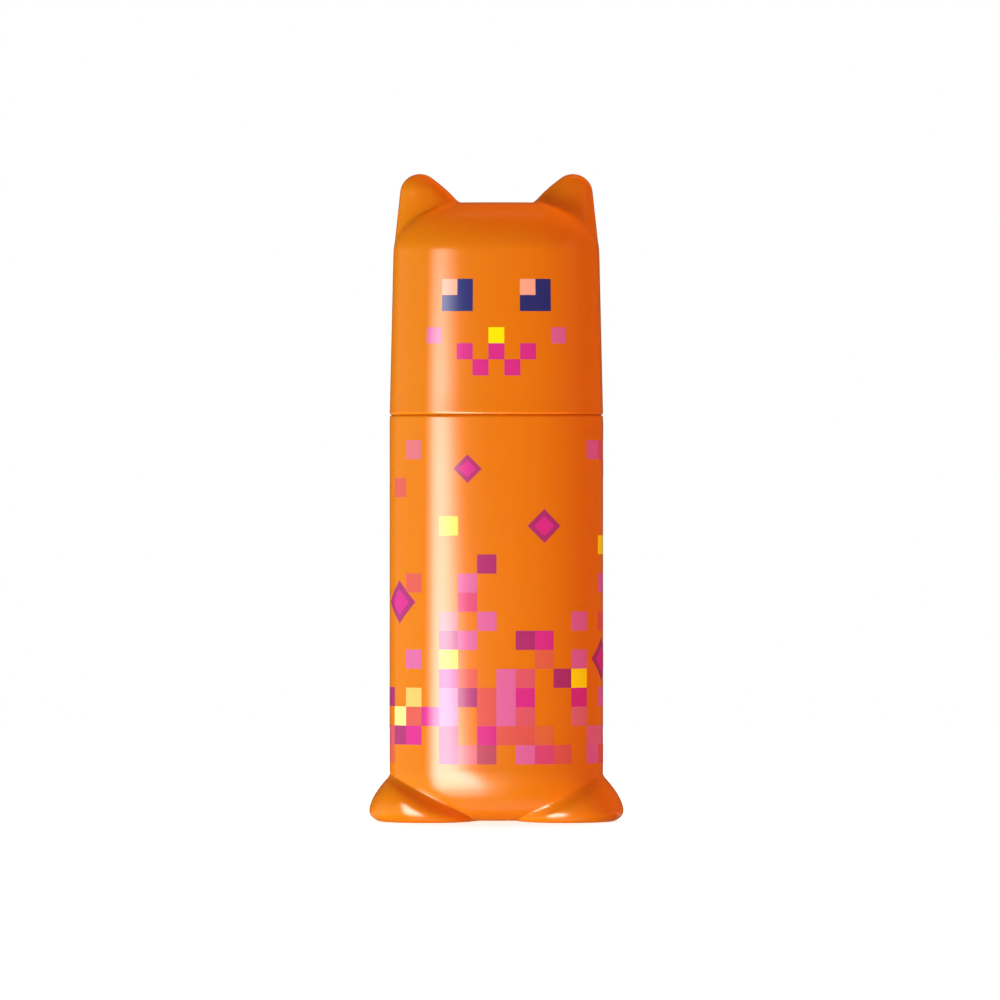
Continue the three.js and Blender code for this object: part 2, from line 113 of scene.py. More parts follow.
def oval_ring(angles, half, height, power=OVAL_POWER):
    """One level ring of points."""
    ring = np.empty((len(angles), 3))
    ring[:, :2] = oval_point(angles, power) * half
    ring[:, 2] = height
    return ring


def quarter(steps):
    """The angles of a quarter turn."""
    return np.linspace(0, np.pi / 2, steps + 1)


def oval_level(points, half_x, half_y, power):
    """Below 0 inside a stack of oval rings, above 0 outside."""
    return (np.abs(points[..., 0]) / half_x) ** power + (np.abs(points[..., 1]) / half_y) ** power - 1


def outermost(level, starts, ways, nearest=0.05, farthest=1.6, samples=96, halvings=26):
    """How far along each way, as a share of it, the last point inside the shape lies. 0 where it misses."""
    shares = np.linspace(nearest, farthest, samples)
    last = np.zeros(starts.shape[:-1])
    for share in shares:
        inside = level(starts + ways * share) < 0
        last[inside] = share
    low = last.copy()
    high = last + (shares[1] - shares[0])
    for _ in range(halvings):
        middle = (low + high) / 2
        inside = level(starts + ways * middle[..., None]) < 0
        low = np.where(inside, middle, low)
        high = np.where(inside, high, middle)
    return np.where(last > 0, (low + high) / 2, 0)


def spine_ways(targets, spine_height, spine_share=0.6):
    """Starts on a level spine inside a piece, and the ways from there to its targets."""
    starts = targets * (spine_share, 0, 0)
    starts[..., 2] = spine_height
    return starts, targets - starts


def joined_skin(body, lobes, targets, spine_height, fillet_width, passes, fillet_growth):
    """The skin round a body and its lobes, with a fillet where they meet that widens to front and back."""
    starts, ways = spine_ways(targets, spine_height)
    on_body = outermost(body, starts, ways)
    on_lobes = outermost(lobes, starts, ways)
    skin = starts + ways * np.maximum(on_body, on_lobes)[..., None]
    apart = np.abs(on_body - on_lobes) * np.linalg.norm(ways, axis=-1)
    width = fillet_width * (1 + fillet_growth * np.clip(np.abs(skin[..., 1]) / BODY_HALF[1], 0, 1))
    pull = np.clip(1 - apart / width, 0, 1) ** 0.5 * 0.5
    pull[[0, -1]] = 0
    pull[on_lobes == 0] = 0
    for _ in range(passes):
        beside = np.roll(skin, 1, 1) + np.roll(skin, -1, 1)
        mean = (beside[1:-1] + skin[2:] + skin[:-2]) / 4
        skin[1:-1] += pull[1:-1, :, None] * (mean - skin[1:-1])
    return skin


def even_profile(corners, rows, width=BODY_HALF[0]):
    """Points that step evenly along a broken line of (share of a width, height), without its first."""
    corners = np.array(corners, float)
    steps = np.linalg.norm(np.diff(corners * (width, 1), axis=0), axis=1)
    travelled = np.concatenate([[0], np.cumsum(steps)])
    at = np.linspace(0, travelled[-1], rows + 1)[1:]
    return np.stack([np.interp(at, travelled, corners[:, i]) for i in (0, 1)], axis=-1)


def shell_object(name, rings, upward, sharp_degrees=40, endless=False):
    """A closed mesh through rings in order, from a first pole to a last one, or endless, back to its first
    ring. Upward says that the rings pass the outside of the piece on their way up."""
    rows = len(rings)
    count = len(rings[0])
    points = np.concatenate(rings)
    column = np.arange(count)
    beside = (column + 1) % count
    start = np.arange(rows if endless else rows - 1)[:, None] * count
    after = (start + count) % (rows * count)
    faces = np.stack([start + column, after + column, after + beside, start + beside], -1)
    faces = faces.reshape(-1, 4).tolist()
    if not endless:
        points = np.concatenate([points, [rings[0].mean(0)], [rings[-1].mean(0)]])
        last = (rows - 1) * count
        faces += np.stack([np.full(count, rows * count), column, beside], -1).tolist()
        faces += np.stack([np.full(count, rows * count + 1), last + beside, last + column], -1).tolist()
    if upward:
        faces = [face[::-1] for face in faces]
    mesh = bpy.data.meshes.new(name)
    mesh.from_pydata(points * MM, [], faces)
    mesh.polygons.foreach_set("use_smooth", [True] * len(mesh.polygons))
    mesh.set_sharp_from_angle(angle=math.radians(sharp_degrees))
    piece = bpy.data.objects.new(name, mesh)
    bpy.context.scene.collection.objects.link(piece)
    return piece


def linear(hex_colour):
    """An sRGB hex colour as linear RGBA."""
    parts = [int(hex_colour[i : i + 2], 16) / 255 for i in (1, 3, 5)]
    return tuple(c / 12.92 if c <= 0.04045 else ((c + 0.055) / 1.055) ** 2.4 for c in parts) + (1.0,)


def add_node(tree, kind, links=None, values=None, **settings):
    """One node with its settings, its socket values and its links."""
    node = tree.nodes.new(kind)
    for name, value in settings.items():
        setattr(node, name, value)
    for socket, value in (values or {}).items():
        node.inputs[socket].default_value = value
    for socket, source in (links or {}).items():
        tree.links.new(source, node.inputs[socket])
    return node


def bare_material(name):
    """An empty material, its tree, and the object coordinates of the piece that wears it."""
    material = bpy.data.materials.new(name)
    material.use_nodes = True
    tree = material.node_tree
    tree.nodes.clear()
    place = add_node(tree, "ShaderNodeTexCoord").outputs["Object"]
    return material, tree, place


def moulded_surface(tree, place, roughness, grain_size, grain_depth):
    """Uneven roughness and fine relief of a moulded surface: sockets for roughness and normal."""
    flow = add_node(
        tree, "ShaderNodeTexNoise", {"Vector": place}, {"Scale": 1 / (FLOW_MARK_SIZE * MM), "Detail": 3.0}
    )
    smoothest, roughest = (roughness * share for share in GLOSS_SPREAD)
    uneven = add_node(
        tree,
        "ShaderNodeMapRange",
        {"Value": flow.outputs["Fac"]},
        {"From Min": 0.3, "From Max": 0.7, "To Min": smoothest, "To Max": roughest},
    )
    grain = add_node(
        tree, "ShaderNodeTexNoise", {"Vector": place}, {"Scale": 1 / (grain_size * MM), "Detail": 2.0}
    )
    relief = add_node(
        tree,
        "ShaderNodeBump",
        {"Height": grain.outputs["Fac"]},
        {"Strength": 1.0, "Distance": grain_depth * MM},
    )
    return uneven.outputs["Result"], relief.outputs["Normal"]


def glossy_polypropylene(name, colour_source=None):
    """Polypropylene from a polished mould: deep even colour and a clear soft gloss with faint waviness.
    The colour is the pigment, or the ink that is printed on it."""
    material, tree, place = bare_material(name)
    roughness, normal = moulded_surface(tree, place, roughness=0.17, grain_size=1.6, grain_depth=0.0012)
    links = {"Roughness": roughness, "Normal": normal}
    if colour_source:
        links["Base Color"] = add_node(
            tree, "ShaderNodeAttribute", attribute_name=colour_source
        ).outputs["Color"]
    surface = add_node(
        tree,
        "ShaderNodeBsdfPrincipled",
        links,
        {"Base Color": linear(ORANGE), "IOR": POLYPROPYLENE_IOR},
    )
    add_node(tree, "ShaderNodeOutputMaterial", {"Surface": surface.outputs["BSDF"]})
    return material


def base_half(height):
    """Half sizes of the rounded base and the straight tube at a height."""
    sine = np.clip(1 - (height - BASE_ARCH) / BASE_ROUND_HEIGHT, 0, 1)
    shrink = (np.sqrt(1 - sine**2) - 1)[..., None]
    return BODY_HALF + (BODY_HALF - BASE_FLAT_HALF) * shrink


def tube_level(points):
    """Below 0 inside the tube and its rounded base."""
    half = base_half(points[..., 2])
    sides = oval_level(points, half[..., 0], half[..., 1], OVAL_POWER)
    return np.maximum(sides, BASE_ARCH - points[..., 2])


def feet_level(points):
    """Both feet: lobes that flare out and forward from the corners of the base."""
    height = np.clip(points[..., 2], 0, FOOT_HEIGHT - 1e-6)
    turn = np.clip(1 - height / FOOT_EDGE_HEIGHT, 0, 1)
    edge = FOOT_EDGE_WIDTH * (1 - np.sqrt(1 - turn**2))
    share = np.clip((height - FOOT_EDGE_HEIGHT) / (FOOT_HEIGHT - FOOT_EDGE_HEIGHT), 0, 1)
    outer = BODY_HALF[0] + FOOT_REACH * (1 - share**FOOT_FLARE_POWER) - edge
    inner_run = (BODY_HALF[0] - FOOT_INNER_EDGE) * (height / FOOT_HEIGHT) ** FOOT_INNER_POWER
    inner = FOOT_INNER_EDGE + edge + inner_run
    moved = points.copy()
    moved[..., 0] = np.abs(points[..., 0]) - (outer + inner) / 2
    half_width = np.maximum((outer - inner) / 2, 1e-3)
    half_depth = FOOT_DEPTH * np.sqrt(1 - share**2) - edge + 1e-3
    level = oval_level(moved, half_width, half_depth, 2)
    return np.maximum(level, np.maximum(-points[..., 2], points[..., 2] - FOOT_HEIGHT))


angles = even_angles(BODY_HALF, OVAL_POWER, COLUMNS)


def rim_rings(way):
    """The rounded edge at the seam, of the shell below it with -1 and of the shell above it with 1."""
    rings = []
    for a in quarter(RIM_STEPS)[::-1]:
        half = BODY_HALF - RIM_ROUND * (1 - math.cos(a))
        rings.append(oval_ring(angles, half, SEAM + way * RIM_ROUND * (1 - math.sin(a))))
    return rings


barrel_rings = [
    oval_ring(
        angles,
        CAVITY_HALF + CAVITY_ROUNDING * (math.cos(a) - 1),
        CAVITY_FLOOR + CAVITY_ROUND_HEIGHT * (1 - math.sin(a)),
    )
    for a in quarter(CAVITY_STEPS)[::-1]
]
for height, half in (
    (PLUG_GROOVE - GROOVE_HALF_HEIGHT, CAVITY_HALF),
    (PLUG_GROOVE, CAVITY_HALF + PLUG_BEAD),
    (PLUG_GROOVE + GROOVE_HALF_HEIGHT, CAVITY_HALF),
    (FLANGE_BOTTOM, CAVITY_HALF),
    (FLANGE_BOTTOM, MOUTH_HALF),
    (SEAM, MOUTH_HALF),
):
    barrel_rings.append(oval_ring(angles, half, height))
barrel_rings.extend(rim_rings(-1))
barrel_rings.append(oval_ring(angles, BODY_HALF, SEAM - RIM_ROUND - HOLDING_STEP))
for height in np.linspace(SEAM - RIM_ROUND, BASE_TOP, TUBE_ROWS)[1:]:
    barrel_rings.append(oval_ring(angles, BODY_HALF, height))
base_targets = np.array(
    [
        oval_ring(angles, BODY_HALF * scale, height)
        for scale, height in even_profile(BASE_OUTLINE, BASE_ROWS)
    ]
)
barrel_rings.extend(
    joined_skin(
        tube_level,
        feet_level,
        base_targets,
        BASE_SPINE_HEIGHT,
        FOOT_FILLET_WIDTH,
        FOOT_FILLET_PASSES,
        FOOT_FILLET_GROWTH,
    )
)
barrel_piece = shell_object("barrel_shell", barrel_rings, upward=False)
orange_plastic = glossy_polypropylene("polished_orange_polypropylene")
barrel_piece.data.materials.append(orange_plastic)
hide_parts("barrel")
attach(barrel_piece, "pen")

# Ink reservoir
# The reservoir is a bundle of polyester fibres soaked with ink, in a sleeve of thin clear film that is
# heat-sealed along its length. It slides in through the barrel's mouth and can't be seen from outside.

INK = "#FF6A1A"
# the colour of the painted shade in the grooves between the strands
GROOVE_SHADE_INK = "#E2500C"
FIBRE_BUNDLE_SIZE = 0.25  # a fibre is about 0.02 thick, too fine to show, so strands of them are drawn
CLEAR_FILM = "#F7E7D6"
WRINKLE_SIZE = 2.0


def inked_fibre(name):
    """Wet fibres drawn lengthwise: dull and streaked along the bundle, with painted shade in the grooves."""
    material, tree, place = bare_material(name)
    drawn = add_node(tree, "ShaderNodeMapping", {"Vector": place}, {"Scale": (1, 1, 0.04)})
    streaks = add_node(
        tree,
        "ShaderNodeTexNoise",
        {"Vector": drawn.outputs["Vector"]},
        {"Scale": 1 / (FIBRE_BUNDLE_SIZE * MM), "Detail": 3.0},
    )
    # painted shade: the colour darkens where the streaks are low, in the grooves of the relief
    colour = add_node(
        tree,
        "ShaderNodeMix",
        {0: streaks.outputs["Fac"]},
        {6: linear(GROOVE_SHADE_INK), 7: linear(INK)},
        data_type="RGBA",
    )
    relief = add_node(
        tree,
        "ShaderNodeBump",
        {"Height": streaks.outputs["Fac"]},
        {"Strength": 1.0, "Distance": 0.05 * MM},
    )
    surface = add_node(
        tree,
        "ShaderNodeBsdfPrincipled",
        {"Base Color": colour.outputs[2], "Normal": relief.outputs["Normal"]},
        {"Roughness": 0.85},
    )
    add_node(tree, "ShaderNodeOutputMaterial", {"Surface": surface.outputs["BSDF"]})
    return material


def clear_film(name):
    """Thin polypropylene film: nearly clear, with a soft gloss and long shallow wrinkles."""
    material, tree, place = bare_material(name)
    lengthwise = add_node(tree, "ShaderNodeMapping", {"Vector": place}, {"Scale": (1, 1, 0.2)})
    wrinkles = add_node(
        tree,
        "ShaderNodeTexNoise",
        {"Vector": lengthwise.outputs["Vector"]},
        {"Scale": 1 / (WRINKLE_SIZE * MM), "Detail": 1.0},
    )
    relief = add_node(
        tree,
        "ShaderNodeBump",
        {"Height": wrinkles.outputs["Fac"]},
        {"Strength": 1.0, "Distance": 0.08 * MM},
    )
    surface = add_node(
        tree,
        "ShaderNodeBsdfPrincipled",
        {"Normal": relief.outputs["Normal"]},
        {
            "Base Color": linear(CLEAR_FILM),
            "Roughness": 0.2,
            "IOR": POLYPROPYLENE_IOR,
            "Transmission Weight": 0.85,
        },
    )
    add_node(tree, "ShaderNodeOutputMaterial", {"Surface": surface.outputs["BSDF"]})
    return material


def dress_cad_node(name, material):
    """Gives a CAD node that stays in view its procedural material."""
    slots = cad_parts[name].data.materials
    slots.clear()
    slots.append(material)


dress_cad_node("reservoir_core", inked_fibre("ink_soaked_polyester_fibre"))
dress_cad_node("reservoir_film", clear_film("clear_polypropylene_film"))

# Nib
# The nib is a flat post of pressed polyester felt, cut to a slanted chisel edge. It reaches down through
# the holder into the fibres, and ink has soaked it to its tip.

NIB_HALF = np.array([2.4, 1.5])
NIB_CORNER = 0.8
NIB_BOTTOM = 39.42
NIB_TOP = 68.02
NIB_COLUMNS = 176
TAIL_HALF_EDGE = 0.4
TAIL_HEIGHT = 3.0
CHISEL_HALF_EDGE = 0.55
CHISEL_HEIGHT = 3.4
CHISEL_DROP = 2.2
TIP_START = 61.5
TIP_ROWS = 84
TIP_SPINE_HEIGHT = 62.6
TIP_MARGIN = 0.3  # the points that the tip is cast towards start this far above it
EDGE_WEAR_PASSES = 3
FELT_FIBRE_SIZE = 0.16  # as coarse as it needs to show, as the real fibres are about 0.02 thick
FELT_PATCH_SIZE = 1.4
# the colour of the painted shade in the gaps between fibres, and of the darker random patches
FELT_GAP_SHADE_AND_PATCHES = "#E9520F"
FELT_FIBRES = "#FF7A22"


def cast_skin(level, targets, spine_height):
    """The skin of one shape, cast out from a level spine."""
    starts, ways = spine_ways(targets, spine_height)
    return starts + ways * outermost(level, starts, ways)[..., None]


def rounded_post_level(points, half, corner):
    """Below 0 inside an upright post whose plan is a rectangle with rounded corners."""
    reach = np.abs(points[..., :2]) - (half - corner)
    return np.linalg.norm(np.maximum(reach, 0), axis=-1) + np.minimum(reach.max(-1), 0) - corner


def post_ring(level, angles, height, reach=5):
    """The ring that an upright shape around the middle cuts at a height."""
    ways = np.zeros((len(angles), 3))
    ways[:, :2] = oval_point(angles, 2) * reach
    starts = np.zeros_like(ways)
    starts[:, 2] = height
    return starts + ways * outermost(level, starts, ways)[:, None]


def nib_level(points):
    """The post cut by the two faces of the chisel and by its slanted edge."""
    post = rounded_post_level(points, NIB_HALF, NIB_CORNER)
    taper = (NIB_HALF[1] - CHISEL_HALF_EDGE) / CHISEL_HEIGHT
    faces = np.abs(points[..., 1]) - CHISEL_HALF_EDGE - taper * (NIB_TOP - points[..., 2])
    slant = points[..., 2] - NIB_TOP + CHISEL_DROP * (points[..., 0] + NIB_HALF[0]) / (2 * NIB_HALF[0])
    return np.maximum(post, np.maximum(faces, slant))


def felt(name):
    """Pressed felt: matt, fuzzy with short upright fibres, darker in patches, with painted shade in the gaps.
    """
    material, tree, place = bare_material(name)
    upright = add_node(tree, "ShaderNodeMapping", {"Vector": place}, {"Scale": (1, 1, 0.22)})
    fibres = add_node(
        tree,
        "ShaderNodeTexNoise",
        {"Vector": upright.outputs["Vector"]},
        {"Scale": 1 / (FELT_FIBRE_SIZE * MM), "Detail": 4.0, "Roughness": 0.65},
    )
    patches = add_node(
        tree, "ShaderNodeTexNoise", {"Vector": place}, {"Scale": 1 / (FELT_PATCH_SIZE * MM), "Detail": 2.0}
    )
    # painted shade in the gaps, where the fibre relief is low, mixed with random darker patches of ink
    soaked = add_node(
        tree,
        "ShaderNodeMath",
        {0: fibres.outputs["Fac"], 1: patches.outputs["Fac"]},
        operation="MULTIPLY",
    )
    depth = add_node(
        tree,
        "ShaderNodeMapRange",
        {"Value": soaked.outputs[0]},
        {"From Min": 0.12, "From Max": 0.36},
    )
    colour = add_node(
        tree,
        "ShaderNodeMix",
        {0: depth.outputs["Result"]},
        {6: linear(FELT_GAP_SHADE_AND_PATCHES), 7: linear(FELT_FIBRES)},
        data_type="RGBA",
    )
    relief = add_node(
        tree,
        "ShaderNodeBump",
        {"Height": fibres.outputs["Fac"]},
        {"Strength": 1.0, "Distance": 0.06 * MM},
    )
    surface = add_node(
        tree,
        "ShaderNodeBsdfPrincipled",
        {"Base Color": colour.outputs[2], "Normal": relief.outputs["Normal"]},
        {"Roughness": 0.95, "Sheen Weight": 0.4, "Sheen Roughness": 0.5},
    )
    add_node(tree, "ShaderNodeOutputMaterial", {"Surface": surface.outputs["BSDF"]})
    return material


nib_angles = np.linspace(0, 2 * np.pi, NIB_COLUMNS, endpoint=False) + np.pi / 2
nib_plan = post_ring(lambda points: rounded_post_level(points, NIB_HALF, NIB_CORNER), nib_angles, 0)
nib_rings = []
for share in (0.02, 0.5, 1.0):
    nib_rings.append(nib_plan * (share, min(share, TAIL_HALF_EDGE / NIB_HALF[1]), 0) + (0, 0, NIB_BOTTOM))
tail_heights = (NIB_BOTTOM + TAIL_HEIGHT / 2, NIB_BOTTOM + TAIL_HEIGHT, NIB_BOTTOM + 2 * TAIL_HEIGHT)
for height in (*tail_heights, TIP_START):
    widening = min((height - NIB_BOTTOM) / TAIL_HEIGHT, 1)
    half_depth = TAIL_HALF_EDGE + (NIB_HALF[1] - TAIL_HALF_EDGE) * widening
    ring = nib_plan + (0, 0, height)
    ring[:, 1] = np.clip(ring[:, 1], -half_depth, half_depth)
    nib_rings.append(ring)
tip_outline = [(1, TIP_START), (1, NIB_TOP + TIP_MARGIN), (0.02, NIB_TOP + TIP_MARGIN)]
tip_targets = np.array(
    [
        nib_plan * (scale, scale, 0) + (0, 0, height)
        for scale, height in even_profile(tip_outline, TIP_ROWS, NIB_HALF[0])
    ]
)
nib_tip = cast_skin(nib_level, tip_targets, TIP_SPINE_HEIGHT)
for _ in range(EDGE_WEAR_PASSES):
    beside = np.roll(nib_tip, 1, 1) + np.roll(nib_tip, -1, 1)
    nib_tip[1:-1] = (nib_tip[1:-1] + (beside[1:-1] + nib_tip[2:] + nib_tip[:-2]) / 4) / 2
nib_rings.extend(nib_tip)
nib_piece = shell_object("felt_nib", nib_rings, upward=True, sharp_degrees=80)
nib_piece.data.materials.append(felt("pressed_polyester_felt"))
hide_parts("nib")
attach(nib_piece, "pen")

# Nib holder
# The holder is a plug moulded in natural white polypropylene. Its flange seats in the barrel's mouth and a
# ridge round its neck snaps into the cap. Its round nose grips the nib and has two grooves that let air in.

PLUG_BOTTOM = 39.02
PLUG_LEAD_IN = 0.5
BEAD_HALF_HEIGHT = 0.5
PLUG_HALF = BODY_HALF - 1.4
PLUG_INNER_HALF = BODY_HALF - 2.4
FLANGE_HALF = BODY_HALF - 0.85
NECK_HALF = BODY_HALF - 1.55
STOP_BOTTOM = 44.52
NECK_TOP = 53.02
SHOULDER_HEIGHT = 3.5
NOSE_BASE_RADIUS = 4.246
NOSE_TIP_RADIUS = 3.746
NOSE_TOP = 62.52
NOSE_EDGE = 0.5
BORE_GAP = 0.1
VENT_RADIUS = 0.45
HOLDER_COLUMNS = 320
SNAP_RIDGE = 50.02
SNAP_RIDGE_PROUD = 0.2
FLANGE_EDGE = 0.15
FLANGE_EDGE_MIDDLE = 0.04
NECK_FILLET = 0.3
BORE_EDGE = ((0.12, 0), (0.03, 0.04), (0, 0.14))  # how much wider the bore is, this far below the nose's top
NATURAL_WHITE = "#DDE2DA"


def satin_moulding(name, colour, roughness, grain_size, grain_depth):
    """Undyed polypropylene or polyethylene from a spark-eroded mould: milky, lets a little light in, a
    fine satin grain. The real grain is about 0.05 mm, so it is drawn as coarse as it needs to show."""
    material, tree, place = bare_material(name)
    uneven, normal = moulded_surface(tree, place, roughness, grain_size, grain_depth)
    surface = add_node(
        tree,
        "ShaderNodeBsdfPrincipled",
        {"Roughness": uneven, "Normal": normal},
        {
            "Base Color": linear(colour),
            "IOR": POLYPROPYLENE_IOR,
            "Subsurface Weight": 0.25,
            "Subsurface Radius": (1.0, 0.9, 0.75),
            "Subsurface Scale": 1.2 * MM,
        },
    )
    add_node(tree, "ShaderNodeOutputMaterial", {"Surface": surface.outputs["BSDF"]})
    return material


def bore_level(points):
    """The bore that the nib stands in, with a vent groove at the front and the back."""
    post = rounded_post_level(points, NIB_HALF + BORE_GAP, NIB_CORNER + BORE_GAP)
    beside = np.abs(points[..., 1]) - NIB_HALF[1] - BORE_GAP
    return np.minimum(post, np.hypot(points[..., 0], beside) - VENT_RADIUS)


holder_angles = even_angles(NECK_HALF, OVAL_POWER, HOLDER_COLUMNS)
holder_outline = [
    (PLUG_BOTTOM, PLUG_HALF - PLUG_LEAD_IN),
    (PLUG_BOTTOM + PLUG_LEAD_IN, PLUG_HALF),
    (PLUG_GROOVE - BEAD_HALF_HEIGHT, PLUG_HALF),
    (PLUG_GROOVE, PLUG_HALF + PLUG_BEAD),
    (PLUG_GROOVE + BEAD_HALF_HEIGHT, PLUG_HALF),
    (FLANGE_BOTTOM, PLUG_HALF),
    (FLANGE_BOTTOM, FLANGE_HALF),
    (SEAM - FLANGE_EDGE, FLANGE_HALF),
    (SEAM - FLANGE_EDGE_MIDDLE, FLANGE_HALF - FLANGE_EDGE_MIDDLE),
    (SEAM, FLANGE_HALF - FLANGE_EDGE),
]
for a in quarter(4)[::-1]:
    half = NECK_HALF + NECK_FILLET * (1 - math.cos(a))
    holder_outline.append((SEAM + NECK_FILLET * (1 - math.sin(a)), half))
for step in np.linspace(-BEAD_HALF_HEIGHT, BEAD_HALF_HEIGHT, 9):
    swell = SNAP_RIDGE_PROUD * math.cos(math.pi * step) ** 2
    holder_outline.append((SNAP_RIDGE + step, NECK_HALF + swell))
holder_rings = [oval_ring(holder_angles, half, height) for height, half in holder_outline]
for a in quarter(16):
    share = 1 - math.cos(a)
    holder_rings.append(
        oval_ring(
            holder_angles,
            NECK_HALF + (NOSE_BASE_RADIUS - NECK_HALF) * share,
            NECK_TOP + SHOULDER_HEIGHT * math.sin(a),
            OVAL_POWER + (2 - OVAL_POWER) * share,
        )
    )
for share in (0.33, 0.66, 1.0):
    radius = NOSE_BASE_RADIUS + (NOSE_TIP_RADIUS - NOSE_BASE_RADIUS) * share
    nose_bottom = NECK_TOP + SHOULDER_HEIGHT
    height = nose_bottom + (NOSE_TOP - NOSE_EDGE - nose_bottom) * share
    holder_rings.append(oval_ring(holder_angles, radius, height, 2))
for a in quarter(6)[1:]:
    radius = NOSE_TIP_RADIUS - NOSE_EDGE * (1 - math.cos(a))
    holder_rings.append(oval_ring(holder_angles, radius, NOSE_TOP - NOSE_EDGE * (1 - math.sin(a)), 2))
for wider, drop in BORE_EDGE:
    holder_rings.append(post_ring(lambda points: bore_level(points) - wider, holder_angles, NOSE_TOP - drop))
holder_rings.append(post_ring(bore_level, holder_angles, STOP_BOTTOM))
holder_rings.append(oval_ring(holder_angles, PLUG_INNER_HALF, STOP_BOTTOM))
holder_rings.append(oval_ring(holder_angles, PLUG_INNER_HALF, PLUG_BOTTOM))
holder_piece = shell_object("nib_holder_plug", holder_rings, upward=True, endless=True)
natural_white = satin_moulding(
    "natural_satin_polypropylene", NATURAL_WHITE, roughness=0.38, grain_size=0.35, grain_depth=0.004
)
holder_piece.data.materials.append(natural_white)
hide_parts("nib_holder")
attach(holder_piece, "pen")

# Cap shell
# The cap is a thin oval shell that narrows a little to a domed crown with two ears, moulded in one piece
# from the same orange polypropylene. A groove inside snaps over a ridge on the nib holder.

CAP_DRAFT = 0.43
CROWN_START = 65.82
CROWN_HEIGHT = 5.8
CROWN = CROWN_START + CROWN_HEIGHT
CROWN_FLAT_HALF = np.array([4.9, 0.975])
CAP_WALL = 1.25
CROWN_WALL = 1.4
CROWN_STEPS = 8
CAP_SIDE_TOP = 64.6
CAP_SIDE_ROWS = 6
EAR_TIP_RADIUS = 2.3
EAR_TIP = np.array([8.85, 72.62])
EAR_OUTER_LEAN = math.radians(6.2)
EAR_INNER_LEAN = math.radians(54)
EAR_INNER_BULGE = 0.1
EAR_INNER_ROOT = 3.7
EAR_ROOT_HALF_DEPTH = 3.2
EAR_TIP_HALF_DEPTH = 2.2
EAR_TIP_POWER = 0.8
EAR_POWER = 2.5
EAR_SIDE_STEP = 0.07
CROWN_ROWS = 150
CROWN_OUTLINE = [(1, CAP_SIDE_TOP), (1, 73), (0.8, 75.2), (0.45, 72.4), (0.02, 71.6)]  # as BASE_OUTLINE
CROWN_SPINE_HEIGHT = 61.0
EAR_FILLET_WIDTH = 0.2
EAR_FILLET_GROWTH = 8
EAR_FILLET_PASSES = 24


def cap_half(height, wall=0.0):
    """Half sizes of the cap's leaning sides and domed crown at a height."""
    lean = CAP_DRAFT * np.clip((height - SEAM) / (CROWN_START - SEAM), 0, 1)
    side = BODY_HALF - wall - lean[..., None]
    sine = np.clip((height - CROWN_START) / CROWN_HEIGHT, 0, 1)
    return CROWN_FLAT_HALF + (side - CROWN_FLAT_HALF) * np.sqrt(1 - sine**2)[..., None]


def cap_level(points):
    """Below 0 inside the cap's sides and crown."""
    half = cap_half(points[..., 2])
    sides = oval_level(points, half[..., 0], half[..., 1], OVAL_POWER)
    return np.maximum(sides, points[..., 2] - CROWN)


def ears_level(points):
    """Both ears: a round tip above an upright outer flank and an inner flank that bulges."""
    height = np.minimum(points[..., 2], EAR_TIP[1] + EAR_TIP_RADIUS - 1e-6)
    rise = np.clip((height - EAR_TIP[1]) / EAR_TIP_RADIUS, -1, 1)
    arc = EAR_TIP_RADIUS * np.sqrt(1 - rise**2)
    outer_drop = EAR_TIP[1] + EAR_TIP_RADIUS * math.sin(EAR_OUTER_LEAN) - height
    outer_flank = EAR_TIP[0] + EAR_TIP_RADIUS * math.cos(EAR_OUTER_LEAN)
    outer_flank = outer_flank + outer_drop * math.tan(EAR_OUTER_LEAN)
    outer_flank = np.minimum(outer_flank, cap_half(np.minimum(height, CROWN_START))[..., 0] - EAR_SIDE_STEP)
    outer = np.where(outer_drop > 0, outer_flank, EAR_TIP[0] + arc)
    inner_drop = EAR_TIP[1] + EAR_TIP_RADIUS * math.sin(EAR_INNER_LEAN) - height
    inner_flank = EAR_TIP[0] - EAR_TIP_RADIUS * math.cos(EAR_INNER_LEAN)
    inner_flank = inner_flank - inner_drop * math.tan(EAR_INNER_LEAN) + EAR_INNER_BULGE * inner_drop**2
    steepest = math.tan(EAR_INNER_LEAN) / (2 * EAR_INNER_BULGE)
    inner_flank = np.where(inner_drop > steepest, EAR_INNER_ROOT, np.maximum(inner_flank, EAR_INNER_ROOT))
    inner = np.where(inner_drop > 0, inner_flank, EAR_TIP[0] - arc)
    share = np.clip((height - CROWN_START) / (EAR_TIP[1] - CROWN_START), 0, 1)
    depth = EAR_ROOT_HALF_DEPTH + (EAR_TIP_HALF_DEPTH - EAR_ROOT_HALF_DEPTH) * share
    depth = depth * np.sqrt(1 - np.clip(rise, 0, 1) ** 2) ** EAR_TIP_POWER
    moved = points.copy()
    moved[..., 0] = np.abs(points[..., 0]) - (outer + inner) / 2
    half_width = np.maximum((outer - inner) / 2, 1e-3)
    level = oval_level(moved, half_width, np.maximum(depth, 1e-3), EAR_POWER)
    return np.maximum(level, points[..., 2] - EAR_TIP[1] - EAR_TIP_RADIUS)


